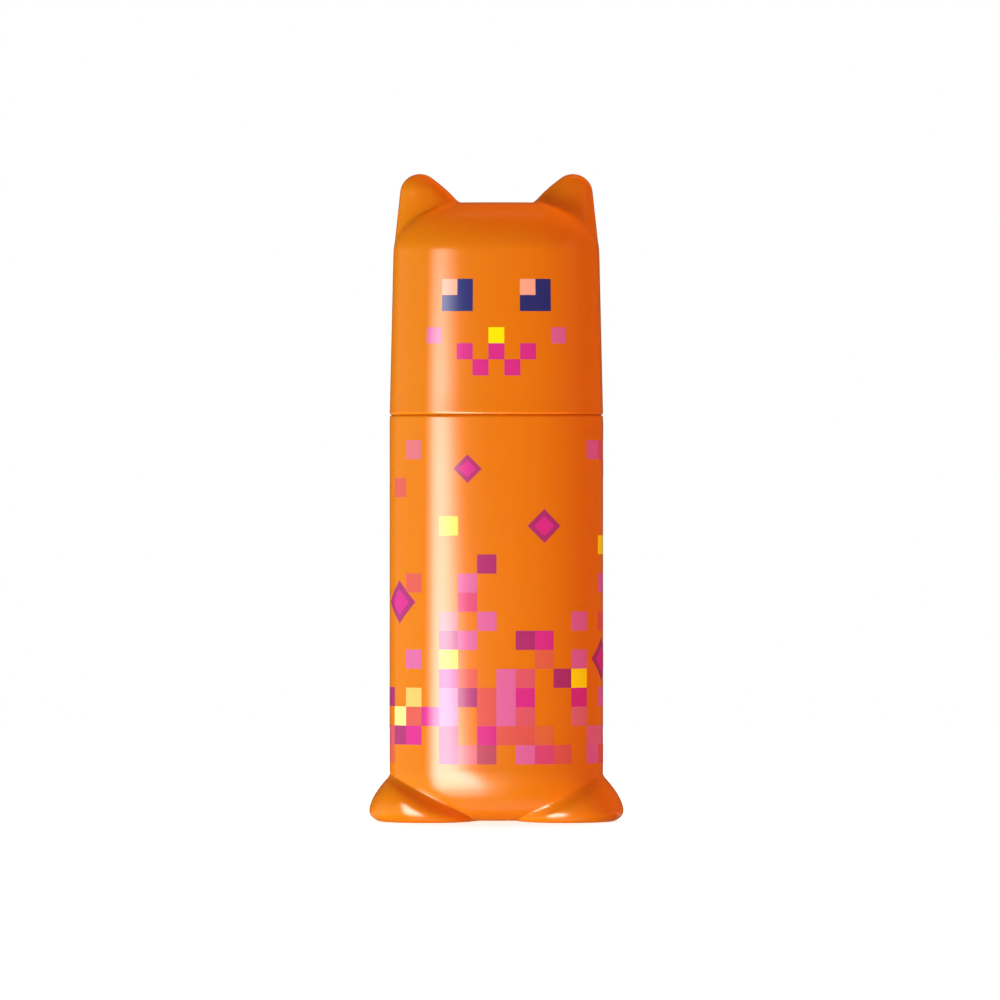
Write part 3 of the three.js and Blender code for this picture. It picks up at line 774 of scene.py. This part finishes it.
inner_side = BODY_HALF - CAP_WALL
cap_rings = [
    oval_ring(
        angles,
        CROWN_FLAT_HALF + (inner_side - CAP_DRAFT - CROWN_FLAT_HALF) * math.cos(a),
        CROWN_START + (CROWN_HEIGHT - CROWN_WALL) * math.sin(a),
    )
    for a in quarter(CROWN_STEPS)[::-1]
]
groove_half = inner_side - CAP_DRAFT * (SNAP_RIDGE - SEAM) / (CROWN_START - SEAM)
for height, half in (
    (SNAP_RIDGE + GROOVE_HALF_HEIGHT, groove_half),
    (SNAP_RIDGE, groove_half + SNAP_RIDGE_PROUD),
    (SNAP_RIDGE - GROOVE_HALF_HEIGHT, groove_half),
    (SEAM, inner_side),
):
    cap_rings.append(oval_ring(angles, half, height))
cap_rings.extend(rim_rings(1))
cap_sides = np.linspace(SEAM + RIM_ROUND, CAP_SIDE_TOP, CAP_SIDE_ROWS)
for height in (SEAM + RIM_ROUND + HOLDING_STEP, *cap_sides[1:]):
    cap_rings.append(oval_ring(angles, cap_half(np.array(height)), height))
crown_targets = np.array(
    [
        oval_ring(angles, (BODY_HALF - CAP_DRAFT) * scale, height)
        for scale, height in even_profile(CROWN_OUTLINE, CROWN_ROWS)
    ]
)
cap_rings.extend(
    joined_skin(
        cap_level,
        ears_level,
        crown_targets,
        CROWN_SPINE_HEIGHT,
        EAR_FILLET_WIDTH,
        EAR_FILLET_PASSES,
        EAR_FILLET_GROWTH,
    )
)
cap_piece = shell_object("cap_shell_with_ears", cap_rings, upward=True)
cap_piece.data.materials.append(orange_plastic)
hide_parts("cap_shell")
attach(cap_piece, "cap")

# Inner cap
# The inner cap is a round liner of soft low-density polyethylene, moulded white. Its head is pressed into
# the cap's socket, and its flared lip seals on the nose of the holder, so that the nib stays wet.

LINER_CEILING = 69.12
LINER_TOP = 69.92
LINER_MOUTH = 57.02
LINER_RADIUS = 4.346
LINER_WALL = 0.7
LINER_HEAD_RADIUS = 2.946
LINER_HEAD_BOTTOM = 66.46
LINER_NECK_BOTTOM = 63.96
LINER_SHOULDER = 1.76
LINER_CHAMFER = 1.25
LINER_LIP = 0.5
LINER_EDGE = 0.08
LINER_SIDES = 144
SOFT_WHITE = "#F6F2EA"


def new_tree(name, inputs):
    """A Geometry Nodes tree with its named inputs: name, kind and first value."""
    tree = bpy.data.node_groups.new(name, "GeometryNodeTree")
    tree.is_modifier = True
    tree.interface.new_socket("Geometry", in_out="INPUT", socket_type="NodeSocketGeometry")
    for socket, kind, value in inputs:
        made = tree.interface.new_socket(socket, in_out="INPUT", socket_type=kind)
        if value is not None:
            made.default_value = value
    tree.interface.new_socket("Geometry", in_out="OUTPUT", socket_type="NodeSocketGeometry")
    return tree, add_node(tree, "NodeGroupInput").outputs


def points_object(name, points):
    """A mesh of bare points for a tree to read."""
    mesh = bpy.data.meshes.new(name)
    mesh.from_pydata(np.array(points) * MM, [], [])
    piece = bpy.data.objects.new(name, mesh)
    bpy.context.scene.collection.objects.link(piece)
    return piece


def made_by_tree(source, tree, settings, name):
    """The plain mesh object that a tree makes from a source, which is then removed."""
    modifier = source.modifiers.new("tree", "NODES")
    modifier.node_group = tree
    for item in tree.interface.items_tree:
        if item.in_out == "INPUT" and item.name in settings:
            modifier[item.identifier] = settings[item.name]
    bpy.context.view_layer.update()
    evaluated = source.evaluated_get(bpy.context.evaluated_depsgraph_get())
    mesh = bpy.data.meshes.new_from_object(evaluated)
    mesh.name = name
    piece = bpy.data.objects.new(name, mesh)
    bpy.context.scene.collection.objects.link(piece)
    bpy.data.objects.remove(source)
    return piece


def turning_tree():
    """Turns a profile of points, in order from axis to axis, about the pen's own axis."""
    tree, given = new_tree(
        "turned_from_profile",
        [("Sides", "NodeSocketInt", 96), ("Material", "NodeSocketMaterial", None)],
    )
    size = add_node(tree, "GeometryNodeAttributeDomainSize", {"Geometry": given["Geometry"]})
    columns = add_node(tree, "ShaderNodeMath", {0: given["Sides"]}, {1: 1.0}, operation="ADD")
    sheet = add_node(
        tree,
        "GeometryNodeMeshGrid",
        {"Vertices X": columns.outputs[0], "Vertices Y": size.outputs["Point Count"]},
        {"Size X": 1.0, "Size Y": 1.0},
    )
    index = add_node(tree, "GeometryNodeInputIndex").outputs[0]
    rows = size.outputs["Point Count"]
    row = add_node(tree, "ShaderNodeMath", {0: index, 1: rows}, operation="FLOORED_MODULO").outputs[0]
    column = add_node(tree, "ShaderNodeMath", {0: index, 1: rows}, operation="DIVIDE").outputs[0]
    column = add_node(tree, "ShaderNodeMath", {0: column}, operation="FLOOR").outputs[0]
    share = add_node(tree, "ShaderNodeMath", {0: column, 1: given["Sides"]}, operation="DIVIDE").outputs[0]
    angle = add_node(tree, "ShaderNodeMath", {0: share}, {1: 2 * math.pi}, operation="MULTIPLY").outputs[0]
    place = add_node(tree, "GeometryNodeInputPosition").outputs[0]
    profile = add_node(
        tree,
        "GeometryNodeSampleIndex",
        {"Geometry": given["Geometry"], "Value": place, "Index": row},
        data_type="FLOAT_VECTOR",
        domain="POINT",
    )
    turned = add_node(
        tree,
        "ShaderNodeVectorRotate",
        {"Vector": profile.outputs["Value"], "Angle": angle},
        rotation_type="Z_AXIS",
    )
    skin = add_node(
        tree, "GeometryNodeSetPosition", {"Geometry": sheet.outputs["Mesh"], "Position": turned.outputs[0]}
    )
    closed = add_node(
        tree, "GeometryNodeMergeByDistance", {"Geometry": skin.outputs[0]}, {"Distance": 0.001 * MM}
    )
    plain = add_node(tree, "GeometryNodeRealizeInstances", {"Geometry": closed.outputs[0]})
    painted = add_node(
        tree, "GeometryNodeSetMaterial", {"Geometry": plain.outputs[0], "Material": given["Material"]}
    )
    add_node(tree, "NodeGroupOutput", {"Geometry": painted.outputs[0]})
    return tree


liner_outer = LINER_RADIUS + LINER_WALL
liner_head_outer = LINER_HEAD_RADIUS + LINER_WALL
liner_profile = [
    (0, LINER_CEILING),
    (LINER_HEAD_RADIUS - LINER_CHAMFER, LINER_CEILING),
    (LINER_HEAD_RADIUS, LINER_CEILING - LINER_CHAMFER),
    (LINER_HEAD_RADIUS, LINER_HEAD_BOTTOM),
    (LINER_RADIUS, LINER_NECK_BOTTOM),
    (LINER_RADIUS, LINER_MOUTH + LINER_LIP),
    (LINER_RADIUS + LINER_LIP / 2, LINER_MOUTH),
    (liner_outer - LINER_EDGE, LINER_MOUTH),
    (liner_outer, LINER_MOUTH + LINER_EDGE),
    (liner_outer, LINER_NECK_BOTTOM),
    (liner_head_outer, LINER_HEAD_BOTTOM),
    (liner_head_outer, LINER_TOP - LINER_SHOULDER),
    (liner_head_outer - LINER_SHOULDER, LINER_TOP),
    (0, LINER_TOP),
]
liner_source = points_object("liner_profile", [(radius, 0, height) for radius, height in liner_profile])
soft_white = satin_moulding(
    "soft_white_polyethylene", SOFT_WHITE, roughness=0.5, grain_size=0.5, grain_depth=0.004
)
liner_piece = made_by_tree(
    liner_source, turning_tree(), {"Sides": LINER_SIDES, "Material": soft_white}, "liner_of_the_cap"
)
liner_piece.data.polygons.foreach_set("use_smooth", [True] * len(liner_piece.data.polygons))
liner_piece.data.set_sharp_from_angle(angle=math.radians(30))
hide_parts("inner_cap")
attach(liner_piece, "cap")

# Print
# The decoration is pad-printed ink: small square tiles in pinks, coral and yellow that pile up towards the
# base and thin out towards the seam, with a few two-tone diamonds, and a plain cat's face on the cap.

TILE_COLUMNS = 30
TILE_ROWS = 18
TILE_HEIGHT = 2.19
PRINT_BOTTOM = 6.85
FACE_TILE = 1.85
FACE_TOP = 62.6
FACE = (
    ".PN...PN.",
    ".NN...NN.",
    ".........",
    "K...Y...K",
    "..M.M.M..",
    "...M.M...",
)
FACE_INKS = {"N": "navy", "P": "peach", "K": "pink", "Y": "yellow", "M": "magenta"}
INK_THICKNESS = 0.03
TILE_GRID, DIAMOND_GRID = (7, 2), (9, 9)  # vertices across and up, enough to follow the wall
TILE_STAMP, DIAMOND_STAMP = 1, 0  # the grid that is linked last comes first
WRAP_SIDES = 1440
CREASE = math.radians(40)
PRINT_SEED = 23
PILE_HEIGHTS = (2, 3, 4, 4, 5, 6, 8, 10)  # how many rows the tiles pile up in a column, drawn for each
PILED_CHANCE = 0.72
LOOSE_CHANCE, LOOSE_CHANCE_LOW = 0.05, 0.16
LOW_ROWS = 5
TILE_INKS = ("magenta", "pink", "coral", "plum", "yellow", "cream")
LOW_SHARES = (3, 4, 4, 1, 0.6, 0.3)
HIGH_SHARES = (3, 5, 1.5, 1.2, 1.4, 0.8)
COVERS = (1, 1, 1, 0.75, 0.55)
DIAMONDS = [(5, 14), (9, 8), (13, 15), (17, 12), (21, 5), (24, 15), (28, 9), (2, 7)]  # column, row
DIAMOND_SIZES = (1.25, 1.6, 1.05)
DIAMOND_HEART = 0.62
HEART_LIFT = 0.004
SPOT_KINDS = (("turn", "FLOAT"), ("grow", "FLOAT"), ("stamp", "INT"), ("lift", "FLOAT"))
INKS = {
    "navy": "#2B3070",
    "magenta": "#D22F88",
    "pink": "#D8699F",
    "coral": "#DA5C50",
    "plum": "#A8326F",
    "yellow": "#FFEE00",
    "cream": "#FBE88A",
    "peach": "#F6AE90",
}


def ink_tree():
    """Sets ink tiles in a flat print, then wraps them round an oval that leans in with height."""
    tree, given = new_tree(
        "ink_tiles_round_an_oval",
        [
            ("Half Width", "NodeSocketFloat", 0.01),
            ("Half Depth", "NodeSocketFloat", 0.01),
            ("Squareness", "NodeSocketFloat", 2.0),
            ("Tile Width", "NodeSocketFloat", 0.002),
            ("Tile Height", "NodeSocketFloat", 0.002),
            ("Ink Thickness", "NodeSocketFloat", 0.00003),
            ("Lean Start", "NodeSocketFloat", 0.0),
            ("Lean Per Height", "NodeSocketFloat", 0.0),
            ("Material", "NodeSocketMaterial", None),
        ],
    )

    place = add_node(tree, "GeometryNodeInputPosition").outputs[0]
    flat = add_node(tree, "ShaderNodeSeparateXYZ", {0: place}).outputs
    power = add_node(tree, "ShaderNodeMath", {1: given["Squareness"]}, {0: 2.0}, operation="DIVIDE")
    above = add_node(tree, "ShaderNodeMath", {0: flat["Z"], 1: given["Lean Start"]}, operation="SUBTRACT")
    lean = add_node(
        tree, "ShaderNodeMath", {0: above.outputs[0], 1: given["Lean Per Height"]}, operation="MULTIPLY"
    )
    oval_place = add_node(tree, "ShaderNodeCombineXYZ")
    narrowed = add_node(tree, "ShaderNodeCombineXYZ")
    for axis, half in (("X", given["Half Width"]), ("Y", given["Half Depth"])):
        side = add_node(tree, "ShaderNodeMath", {0: flat[axis]}, operation="SIGN").outputs[0]
        size = add_node(tree, "ShaderNodeMath", {0: flat[axis]}, operation="ABSOLUTE").outputs[0]
        bent = add_node(tree, "ShaderNodeMath", {0: size, 1: power.outputs[0]}, operation="POWER").outputs[0]
        unit = add_node(tree, "ShaderNodeMath", {0: side, 1: bent}, operation="MULTIPLY").outputs[0]
        sized = add_node(tree, "ShaderNodeMath", {0: unit, 1: half}, operation="MULTIPLY").outputs[0]
        tree.links.new(sized, oval_place.inputs[axis])
        lost = add_node(tree, "ShaderNodeMath", {0: lean.outputs[0], 1: half}, operation="DIVIDE").outputs[0]
        kept = add_node(tree, "ShaderNodeMath", {1: lost}, {0: 1.0}, operation="SUBTRACT").outputs[0]
        tree.links.new(kept, narrowed.inputs[axis])
    circle = add_node(
        tree, "GeometryNodeCurvePrimitiveCircle", values={"Resolution": WRAP_SIDES, "Radius": 1.0}
    )
    oval = add_node(
        tree,
        "GeometryNodeSetPosition",
        {"Geometry": circle.outputs[0], "Position": oval_place.outputs[0]},
    ).outputs[0]
    spot = {}
    for name, kind in SPOT_KINDS:
        told = add_node(tree, "GeometryNodeInputNamedAttribute", values={"Name": name}, data_type=kind)
        spot[name] = told.outputs["Attribute"]

    tile_size = add_node(
        tree,
        "ShaderNodeCombineXYZ",
        {"X": given["Tile Width"], "Y": given["Ink Thickness"], "Z": given["Tile Height"]},
    )
    stamps = add_node(tree, "GeometryNodeGeometryToInstance")
    for across, upward in (TILE_GRID, DIAMOND_GRID):
        stamp = add_node(
            tree,
            "GeometryNodeMeshCube",
            {"Size": tile_size.outputs[0]},
            {"Vertices X": across, "Vertices Y": 2, "Vertices Z": upward},
        )
        tree.links.new(stamp.outputs["Mesh"], stamps.inputs[0])
    turn = add_node(tree, "ShaderNodeCombineXYZ", {"Y": spot["turn"]})
    scale = add_node(tree, "ShaderNodeCombineXYZ", {"X": spot["grow"], "Z": spot["grow"]}, {"Y": 1.0})
    print_points = add_node(tree, "GeometryNodeMeshToPoints", {"Mesh": given["Geometry"]})
    set_tiles = add_node(
        tree,
        "GeometryNodeInstanceOnPoints",
        {
            "Points": print_points.outputs[0],
            "Instance": stamps.outputs[0],
            "Instance Index": spot["stamp"],
            "Rotation": turn.outputs[0],
            "Scale": scale.outputs[0],
        },
        {"Pick Instance": True},
    )
    tiles = add_node(tree, "GeometryNodeRealizeInstances", {"Geometry": set_tiles.outputs[0]}).outputs[0]

    length = add_node(tree, "GeometryNodeCurveLength", {0: oval}).outputs[0]
    front = add_node(tree, "ShaderNodeMath", {0: length}, {1: 0.75}, operation="MULTIPLY").outputs[0]
    from_front = add_node(tree, "ShaderNodeMath", {0: flat["X"], 1: front}, operation="ADD").outputs[0]
    along = add_node(tree, "ShaderNodeMath", {0: from_front, 1: length}, operation="FLOORED_MODULO")
    around = add_node(
        tree,
        "GeometryNodeSampleCurve",
        {"Curves": oval, "Length": along.outputs[0]},
        mode="LENGTH",
        use_all_curves=True,
    )
    outward = add_node(
        tree,
        "ShaderNodeVectorMath",
        {0: around.outputs["Tangent"]},
        {1: (0.0, 0.0, 1.0)},
        operation="CROSS_PRODUCT",
    )
    proud = add_node(tree, "ShaderNodeMath", {0: spot["lift"], 1: flat["Y"]}, operation="SUBTRACT")
    stand_off = add_node(
        tree, "ShaderNodeVectorMath", {0: outward.outputs[0], "Scale": proud.outputs[0]}, operation="SCALE"
    )
    on_wall = add_node(
        tree,
        "ShaderNodeVectorMath",
        {0: around.outputs["Position"], 1: narrowed.outputs[0], 2: stand_off.outputs[0]},
        operation="MULTIPLY_ADD",
    )
    height = add_node(tree, "ShaderNodeCombineXYZ", {"Z": flat["Z"]})
    wrapped = add_node(
        tree, "ShaderNodeVectorMath", {0: on_wall.outputs[0], 1: height.outputs[0]}, operation="ADD"
    )
    wrapped = add_node(
        tree, "GeometryNodeSetPosition", {"Geometry": tiles, "Position": wrapped.outputs[0]}
    )
    smooth = add_node(tree, "GeometryNodeSetShadeSmooth", {0: wrapped.outputs[0]}, {"Shade Smooth": True})
    fold = add_node(tree, "GeometryNodeInputMeshEdgeAngle").outputs[0]
    creased = add_node(tree, "ShaderNodeMath", {0: fold}, {1: CREASE}, operation="GREATER_THAN")
    crisp = add_node(
        tree,
        "GeometryNodeSetShadeSmooth",
        {0: smooth.outputs[0], "Selection": creased.outputs[0]},
        {"Shade Smooth": False},
        domain="EDGE",
    )
    painted = add_node(
        tree, "GeometryNodeSetMaterial", {"Geometry": crisp.outputs[0], "Material": given["Material"]}
    )
    add_node(tree, "NodeGroupOutput", {"Geometry": painted.outputs[0]})
    return tree


ink_wrap = ink_tree()
printed_gloss = glossy_polypropylene("pad_printed_ink_on_polypropylene", "ink")


def printed_piece(name, spots, tile_width, tile_height, lean_start, lean_per_height):
    """One print from its spots: place round the oval, height, ink, turn, size, kind of stamp and lift."""
    source = points_object(name + "_spots", [(spot[0], 0, spot[1]) for spot in spots])
    mesh = source.data
    mesh.attributes.new("ink", "FLOAT_COLOR", "POINT").data.foreach_set(
        "color", np.array([spot[2] for spot in spots]).ravel()
    )
    for column, (told, kind) in enumerate(SPOT_KINDS, 3):
        values = [spot[column] for spot in spots]
        mesh.attributes.new(told, kind, "POINT").data.foreach_set("value", values)
    return made_by_tree(
        source,
        ink_wrap,
        {
            "Half Width": BODY_HALF[0] * MM,
            "Half Depth": BODY_HALF[1] * MM,
            "Squareness": OVAL_POWER,
            "Tile Width": tile_width * MM,
            "Tile Height": tile_height * MM,
            "Ink Thickness": INK_THICKNESS * MM,
            "Lean Start": lean_start * MM,
            "Lean Per Height": lean_per_height,
            "Material": printed_gloss,
        },
        name,
    )


def tinted(ink, cover):
    """An ink printed so thin that some of the orange shows through."""
    over, under = np.array(linear(INKS[ink])), np.array(linear(ORANGE))
    return tuple(over * cover + under * (1 - cover))


oval_length = np.linalg.norm(
    np.diff(oval_point(np.append(angles, angles[0]), OVAL_POWER) * BODY_HALF, axis=0), axis=1
).sum()
tile_width = oval_length / TILE_COLUMNS
chooser = random.Random(PRINT_SEED)
taken = {
    ((column + across) % TILE_COLUMNS, row + up)
    for column, row in DIAMONDS
    for across, up in ((0, 0), (1, 0), (-1, 0), (0, 1), (0, -1))
}
barrel_spots = []
for column in range(TILE_COLUMNS):
    pile = chooser.choice(PILE_HEIGHTS)
    for row in range(TILE_ROWS):
        loose = LOOSE_CHANCE + LOOSE_CHANCE_LOW * (1 - row / TILE_ROWS)
        shown = chooser.random() < (PILED_CHANCE if row < pile else loose)
        ink = chooser.choices(TILE_INKS, LOW_SHARES if row < LOW_ROWS else HIGH_SHARES)[0]
        cover = chooser.choice(COVERS)
        if shown and (column, row) not in taken:
            place = (column - TILE_COLUMNS / 2 + 0.5) * tile_width
            height = PRINT_BOTTOM + (row + 0.5) * TILE_HEIGHT
            barrel_spots.append((place, height, tinted(ink, cover), 0, 1, TILE_STAMP, 0))
for number, (column, row) in enumerate(DIAMONDS):
    place = (column - TILE_COLUMNS / 2 + 0.5) * tile_width
    height = PRINT_BOTTOM + (row + 0.5) * TILE_HEIGHT
    size = DIAMOND_SIZES[number % len(DIAMOND_SIZES)]
    for ink, grow, lift in (("plum", size, 0), ("magenta", size * DIAMOND_HEART, HEART_LIFT)):
        turned = math.pi / 4
        barrel_spots.append((place, height, tinted(ink, 1), turned, grow, DIAMOND_STAMP, lift * MM))
barrel_print = printed_piece("print_on_the_barrel", barrel_spots, tile_width, TILE_HEIGHT, 0, 0)
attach(barrel_print, "pen")

face_spots = []
for row, line in enumerate(FACE):
    for column, mark in enumerate(line):
        if mark != ".":
            place = (column - (len(line) - 1) / 2) * FACE_TILE
            height = FACE_TOP - (row + 0.5) * FACE_TILE
            face_spots.append((place, height, tinted(FACE_INKS[mark], 1), 0, 1, TILE_STAMP, 0))
face_print = printed_piece(
    "print_on_the_cap", face_spots, FACE_TILE, FACE_TILE, SEAM, CAP_DRAFT / (CROWN_START - SEAM)
)
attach(face_print, "cap")

# Studio
# A light table for the pen: a white floor that lets light through, and a tall softbox close by on the left
# that draws the long highlight and goes on below the floor. The key lamp shines up from the left, the others
# stand at the right, at the back and above, and dark cloth hangs all round.

PEN_MIDDLE = 0.037
WHITE = (1, 1, 1, 1)
ROOM_LIGHT = 0.15
FLOOR_HALF = 0.4
FLOOR_PAINT = (0.8, 0.8, 0.8, 1)
FLOOR_GLOW = (0.68, 0.68, 0.68, 1)
ROOM_RADIUS, ROOM_HALF_HEIGHT = 1.6, 1.2
DARK_CLOTH = 0.04
SIDE_SHEEN, SIDE_SHEEN_AZIMUTH = 0.4, -88
SIDE_SHEEN_WIDTH, SIDE_SHEEN_TOP = (28, 45), (0.1, 0.5)
TABLE_LIGHT, TABLE_LIGHT_RADIUS = 0.6, (0.2, 0.6)
RIM_LIGHT, RIM_LIGHT_HEIGHT, RIM_LIGHT_AZIMUTH = 0.4, -0.4, (100, 135)
SOFTBOX_DISTANCE = 0.22
SOFTBOX_LEFT, SOFTBOX_LEFT_SOFTNESS = -52, 15
SOFTBOX_FLARE, SOFTBOX_FLARE_DEPTH = 5, (0.08, 0.2)
SOFTBOX_HALO, SOFTBOX_HALO_WIDTH = 0.05, 24
CAMERA_PLACE = (0.000417, -0.9645, 0.0372)
CAMERA_LENS, CAMERA_SENSOR = 300, 36


def add_to_set(name, points, faces, material):
    """A part of the studio that only glossy rays see, unless its caller shows it to others."""
    mesh = bpy.data.meshes.new(name)
    mesh.from_pydata(points, [], faces)
    mesh.materials.append(material)
    thing = bpy.data.objects.new(name, mesh)
    bpy.context.scene.collection.objects.link(thing)
    thing.visible_camera = thing.visible_diffuse = thing.visible_shadow = False
    return thing


def ease(value, start, end):
    """0 at the start, 1 at the end, with a smooth way between them."""
    share = np.clip((value - start) / (end - start), 0, 1)
    return share * share * (3 - 2 * share)


def round_place(azimuth, radius, height):
    """A place round the pen in metres. Azimuth 0 is the front, and right is above 0."""
    side = np.radians(azimuth)
    return np.stack(np.broadcast_arrays(radius * np.sin(side), -radius * np.cos(side), height), -1)


def hang_cloth(name, places, strengths):
    """Lit cloth through a grid of places, with a strength of light at each."""
    rows, columns = strengths.shape
    index = np.arange(rows * columns).reshape(rows, columns)
    faces = np.stack([index[:-1, :-1], index[1:, :-1], index[1:, 1:], index[:-1, 1:]], -1).reshape(-1, 4)
    material, tree, _ = bare_material(name)
    glow = add_node(tree, "ShaderNodeAttribute", attribute_name="glow").outputs["Fac"]
    light = add_node(tree, "ShaderNodeEmission", {"Strength": glow})
    add_node(tree, "ShaderNodeOutputMaterial", {"Surface": light.outputs[0]})
    cloth = add_to_set(name, places.reshape(-1, 3), faces.tolist(), material)
    cloth.data.attributes.new("glow", "FLOAT", "POINT").data.foreach_set("value", strengths.ravel())


def lamp(name, azimuth, elevation, distance, size, strength, colour=(1, 1, 1)):
    """A square soft lamp that lights the pen at a strength, where 1 shows a colour as it is written."""
    data = bpy.data.lights.new(name, "AREA")
    data.size = size
    data.energy = strength * (math.pi * distance) ** 2
    data.color = colour
    light = bpy.data.objects.new(name, data)
    bpy.context.scene.collection.objects.link(light)
    side, up = math.radians(azimuth), math.radians(elevation)
    level = distance * math.cos(up)
    light.location = (level * math.sin(side), -level * math.cos(side), PEN_MIDDLE + distance * math.sin(up))
    light.rotation_euler = (math.pi / 2 - up, 0, side)
    light.visible_camera = light.visible_glossy = False


def background_share(tree):
    """1 for the rays that see the white background: camera, glossy and transmission rays."""
    path = add_node(tree, "ShaderNodeLightPath").outputs
    direct = add_node(
        tree, "ShaderNodeMath", {0: path["Is Camera Ray"], 1: path["Is Glossy Ray"]}, operation="MAXIMUM"
    )
    return add_node(
        tree, "ShaderNodeMath", {0: direct.outputs[0], 1: path["Is Transmission Ray"]}, operation="MAXIMUM"
    ).outputs[0]


world = bpy.data.worlds.new("white_studio")
bpy.context.scene.world = world
world.use_nodes = True
sky = world.node_tree
sky.nodes.clear()
room_light = add_node(sky, "ShaderNodeBackground", values={"Color": WHITE, "Strength": ROOM_LIGHT})
room_white = add_node(sky, "ShaderNodeBackground", values={"Color": WHITE, "Strength": 1.0})
room = add_node(
    sky, "ShaderNodeMixShader", {0: background_share(sky), 1: room_light.outputs[0], 2: room_white.outputs[0]}
)
add_node(sky, "ShaderNodeOutputWorld", {"Surface": room.outputs[0]})

floor_paint, floor_tree, _ = bare_material("white_floor_paint")
paint = add_node(floor_tree, "ShaderNodeBsdfDiffuse", values={"Color": FLOOR_PAINT})
glow = add_node(
    floor_tree,
    "ShaderNodeEmission",
    {"Strength": background_share(floor_tree)},
    {"Color": FLOOR_GLOW},
)
floor_mix = add_node(floor_tree, "ShaderNodeAddShader", {0: paint.outputs[0], 1: glow.outputs[0]})
add_node(floor_tree, "ShaderNodeOutputMaterial", {"Surface": floor_mix.outputs[0]})
floor_corners = [(x * FLOOR_HALF, y * FLOOR_HALF, 0) for x, y in ((-1, -1), (1, -1), (1, 1), (-1, 1))]
floor = add_to_set("floor", floor_corners, [(0, 1, 2, 3)], floor_paint)
floor.visible_camera = floor.visible_diffuse = True
floor.visible_glossy = False

room_outline = np.array(
    [(radius, -ROOM_HALF_HEIGHT) for radius in np.linspace(0, ROOM_RADIUS, 17)]
    + [(ROOM_RADIUS, height) for height in np.linspace(-ROOM_HALF_HEIGHT, ROOM_HALF_HEIGHT, 13)[1:]]
    + [(0, ROOM_HALF_HEIGHT)]
)
room_azimuths = np.arange(-180, 181, 4)
radius, height = room_outline[:, 0, None], room_outline[:, 1, None]
from_sheen = np.abs(room_azimuths - SIDE_SHEEN_AZIMUTH)
sheen = SIDE_SHEEN * (1 - ease(from_sheen, *SIDE_SHEEN_WIDTH)) * (radius == ROOM_RADIUS)
sheen = sheen * (1 - ease(height, *SIDE_SHEEN_TOP))
table_light = TABLE_LIGHT * (1 - ease(radius, *TABLE_LIGHT_RADIUS)) * (height < 0)
behind = ease(np.abs(room_azimuths), *RIM_LIGHT_AZIMUTH)
rim_light = RIM_LIGHT * behind * np.isclose(height, RIM_LIGHT_HEIGHT)
hang_cloth(
    "dark_cloth_all_round",
    round_place(room_azimuths, radius, height),
    DARK_CLOTH + sheen + table_light + rim_light,
)

# Each stop of the softbox: height in metres, strength, azimuth of its right edge, and that edge's softness.
SOFTBOX_STOPS = np.array(
    [
        (-0.60, 1.0, -5, 8),
        (-0.45, 3.0, -5, 8),
        (-0.34, 5.0, -5, 7),
        (-0.26, 7.0, -5, 7),
        (-0.15, 14.5, -5, 6),
        (-0.08, 17.3, -7.5, 6.5),
        (-0.05, 18.0, -9.5, 7),
        (-0.01, 18.0, -13, 8),
        (0.00, 17.3, -17.5, 9),
        (0.02, 15.6, -22.5, 9.5),
        (0.033, 15.0, -23.5, 9.5),
        (0.047, 14.4, -25.5, 9.5),
        (0.062, 12.4, -26.5, 9),
        (0.08, 7.4, -27, 9),
        (0.09, 3.0, -27, 9),
        (0.101, 0.4, -27, 9),
    ]
)
softbox_azimuths = np.arange(-58, 21, 1.5)
softbox_heights = np.concatenate([np.arange(-0.60, -0.02, 0.02), np.arange(-0.02, 0.1011, 0.005)])[:, None]
softbox_level, right_edge, softness = (
    np.interp(softbox_heights, SOFTBOX_STOPS[:, 0], SOFTBOX_STOPS[:, column]) for column in (1, 2, 3)
)
left_edge = SOFTBOX_LEFT - SOFTBOX_FLARE * ease(-softbox_heights, *SOFTBOX_FLARE_DEPTH)
softbox_glow = softbox_level * ease(softbox_azimuths, left_edge, left_edge + SOFTBOX_LEFT_SOFTNESS)
softbox_glow = softbox_glow * (
    (1 - SOFTBOX_HALO) * (1 - ease(softbox_azimuths, right_edge - softness, right_edge + softness))
    + SOFTBOX_HALO * (1 - ease(softbox_azimuths, right_edge, right_edge + SOFTBOX_HALO_WIDTH))
)
hang_cloth(
    "tall_softbox",
    round_place(softbox_azimuths, SOFTBOX_DISTANCE, softbox_heights),
    DARK_CLOTH + softbox_glow,
)

# Each lamp: azimuth, elevation, distance and size in metres, strength and colour.
lamp("key_lamp", -53, -29, 0.9, 0.4, 1.3, (0.8, 1, 1))
lamp("fill_lamp", 60, 18, 1.2, 0.5, 0.54, (1.0, 0.38, 0.36))
lamp("back_lamp_left", -150, -10, 1.2, 0.5, 0.46)
lamp("back_lamp_right", 150, -10, 1.2, 0.5, 0.3)
lamp("top_lamp", 180, 75, 1.2, 0.5, 0.9, (1.0, 0.6, 0.54))

bpy.context.scene.view_settings.view_transform = "Standard"

camera_data = bpy.data.cameras.new("photo_camera")
camera_data.lens = CAMERA_LENS
camera_data.sensor_width = CAMERA_SENSOR
camera = bpy.data.objects.new("photo_camera", camera_data)
bpy.context.scene.collection.objects.link(camera)
camera.location = CAMERA_PLACE
camera.rotation_euler = (math.radians(90), 0, 0)
bpy.context.scene.camera = camera
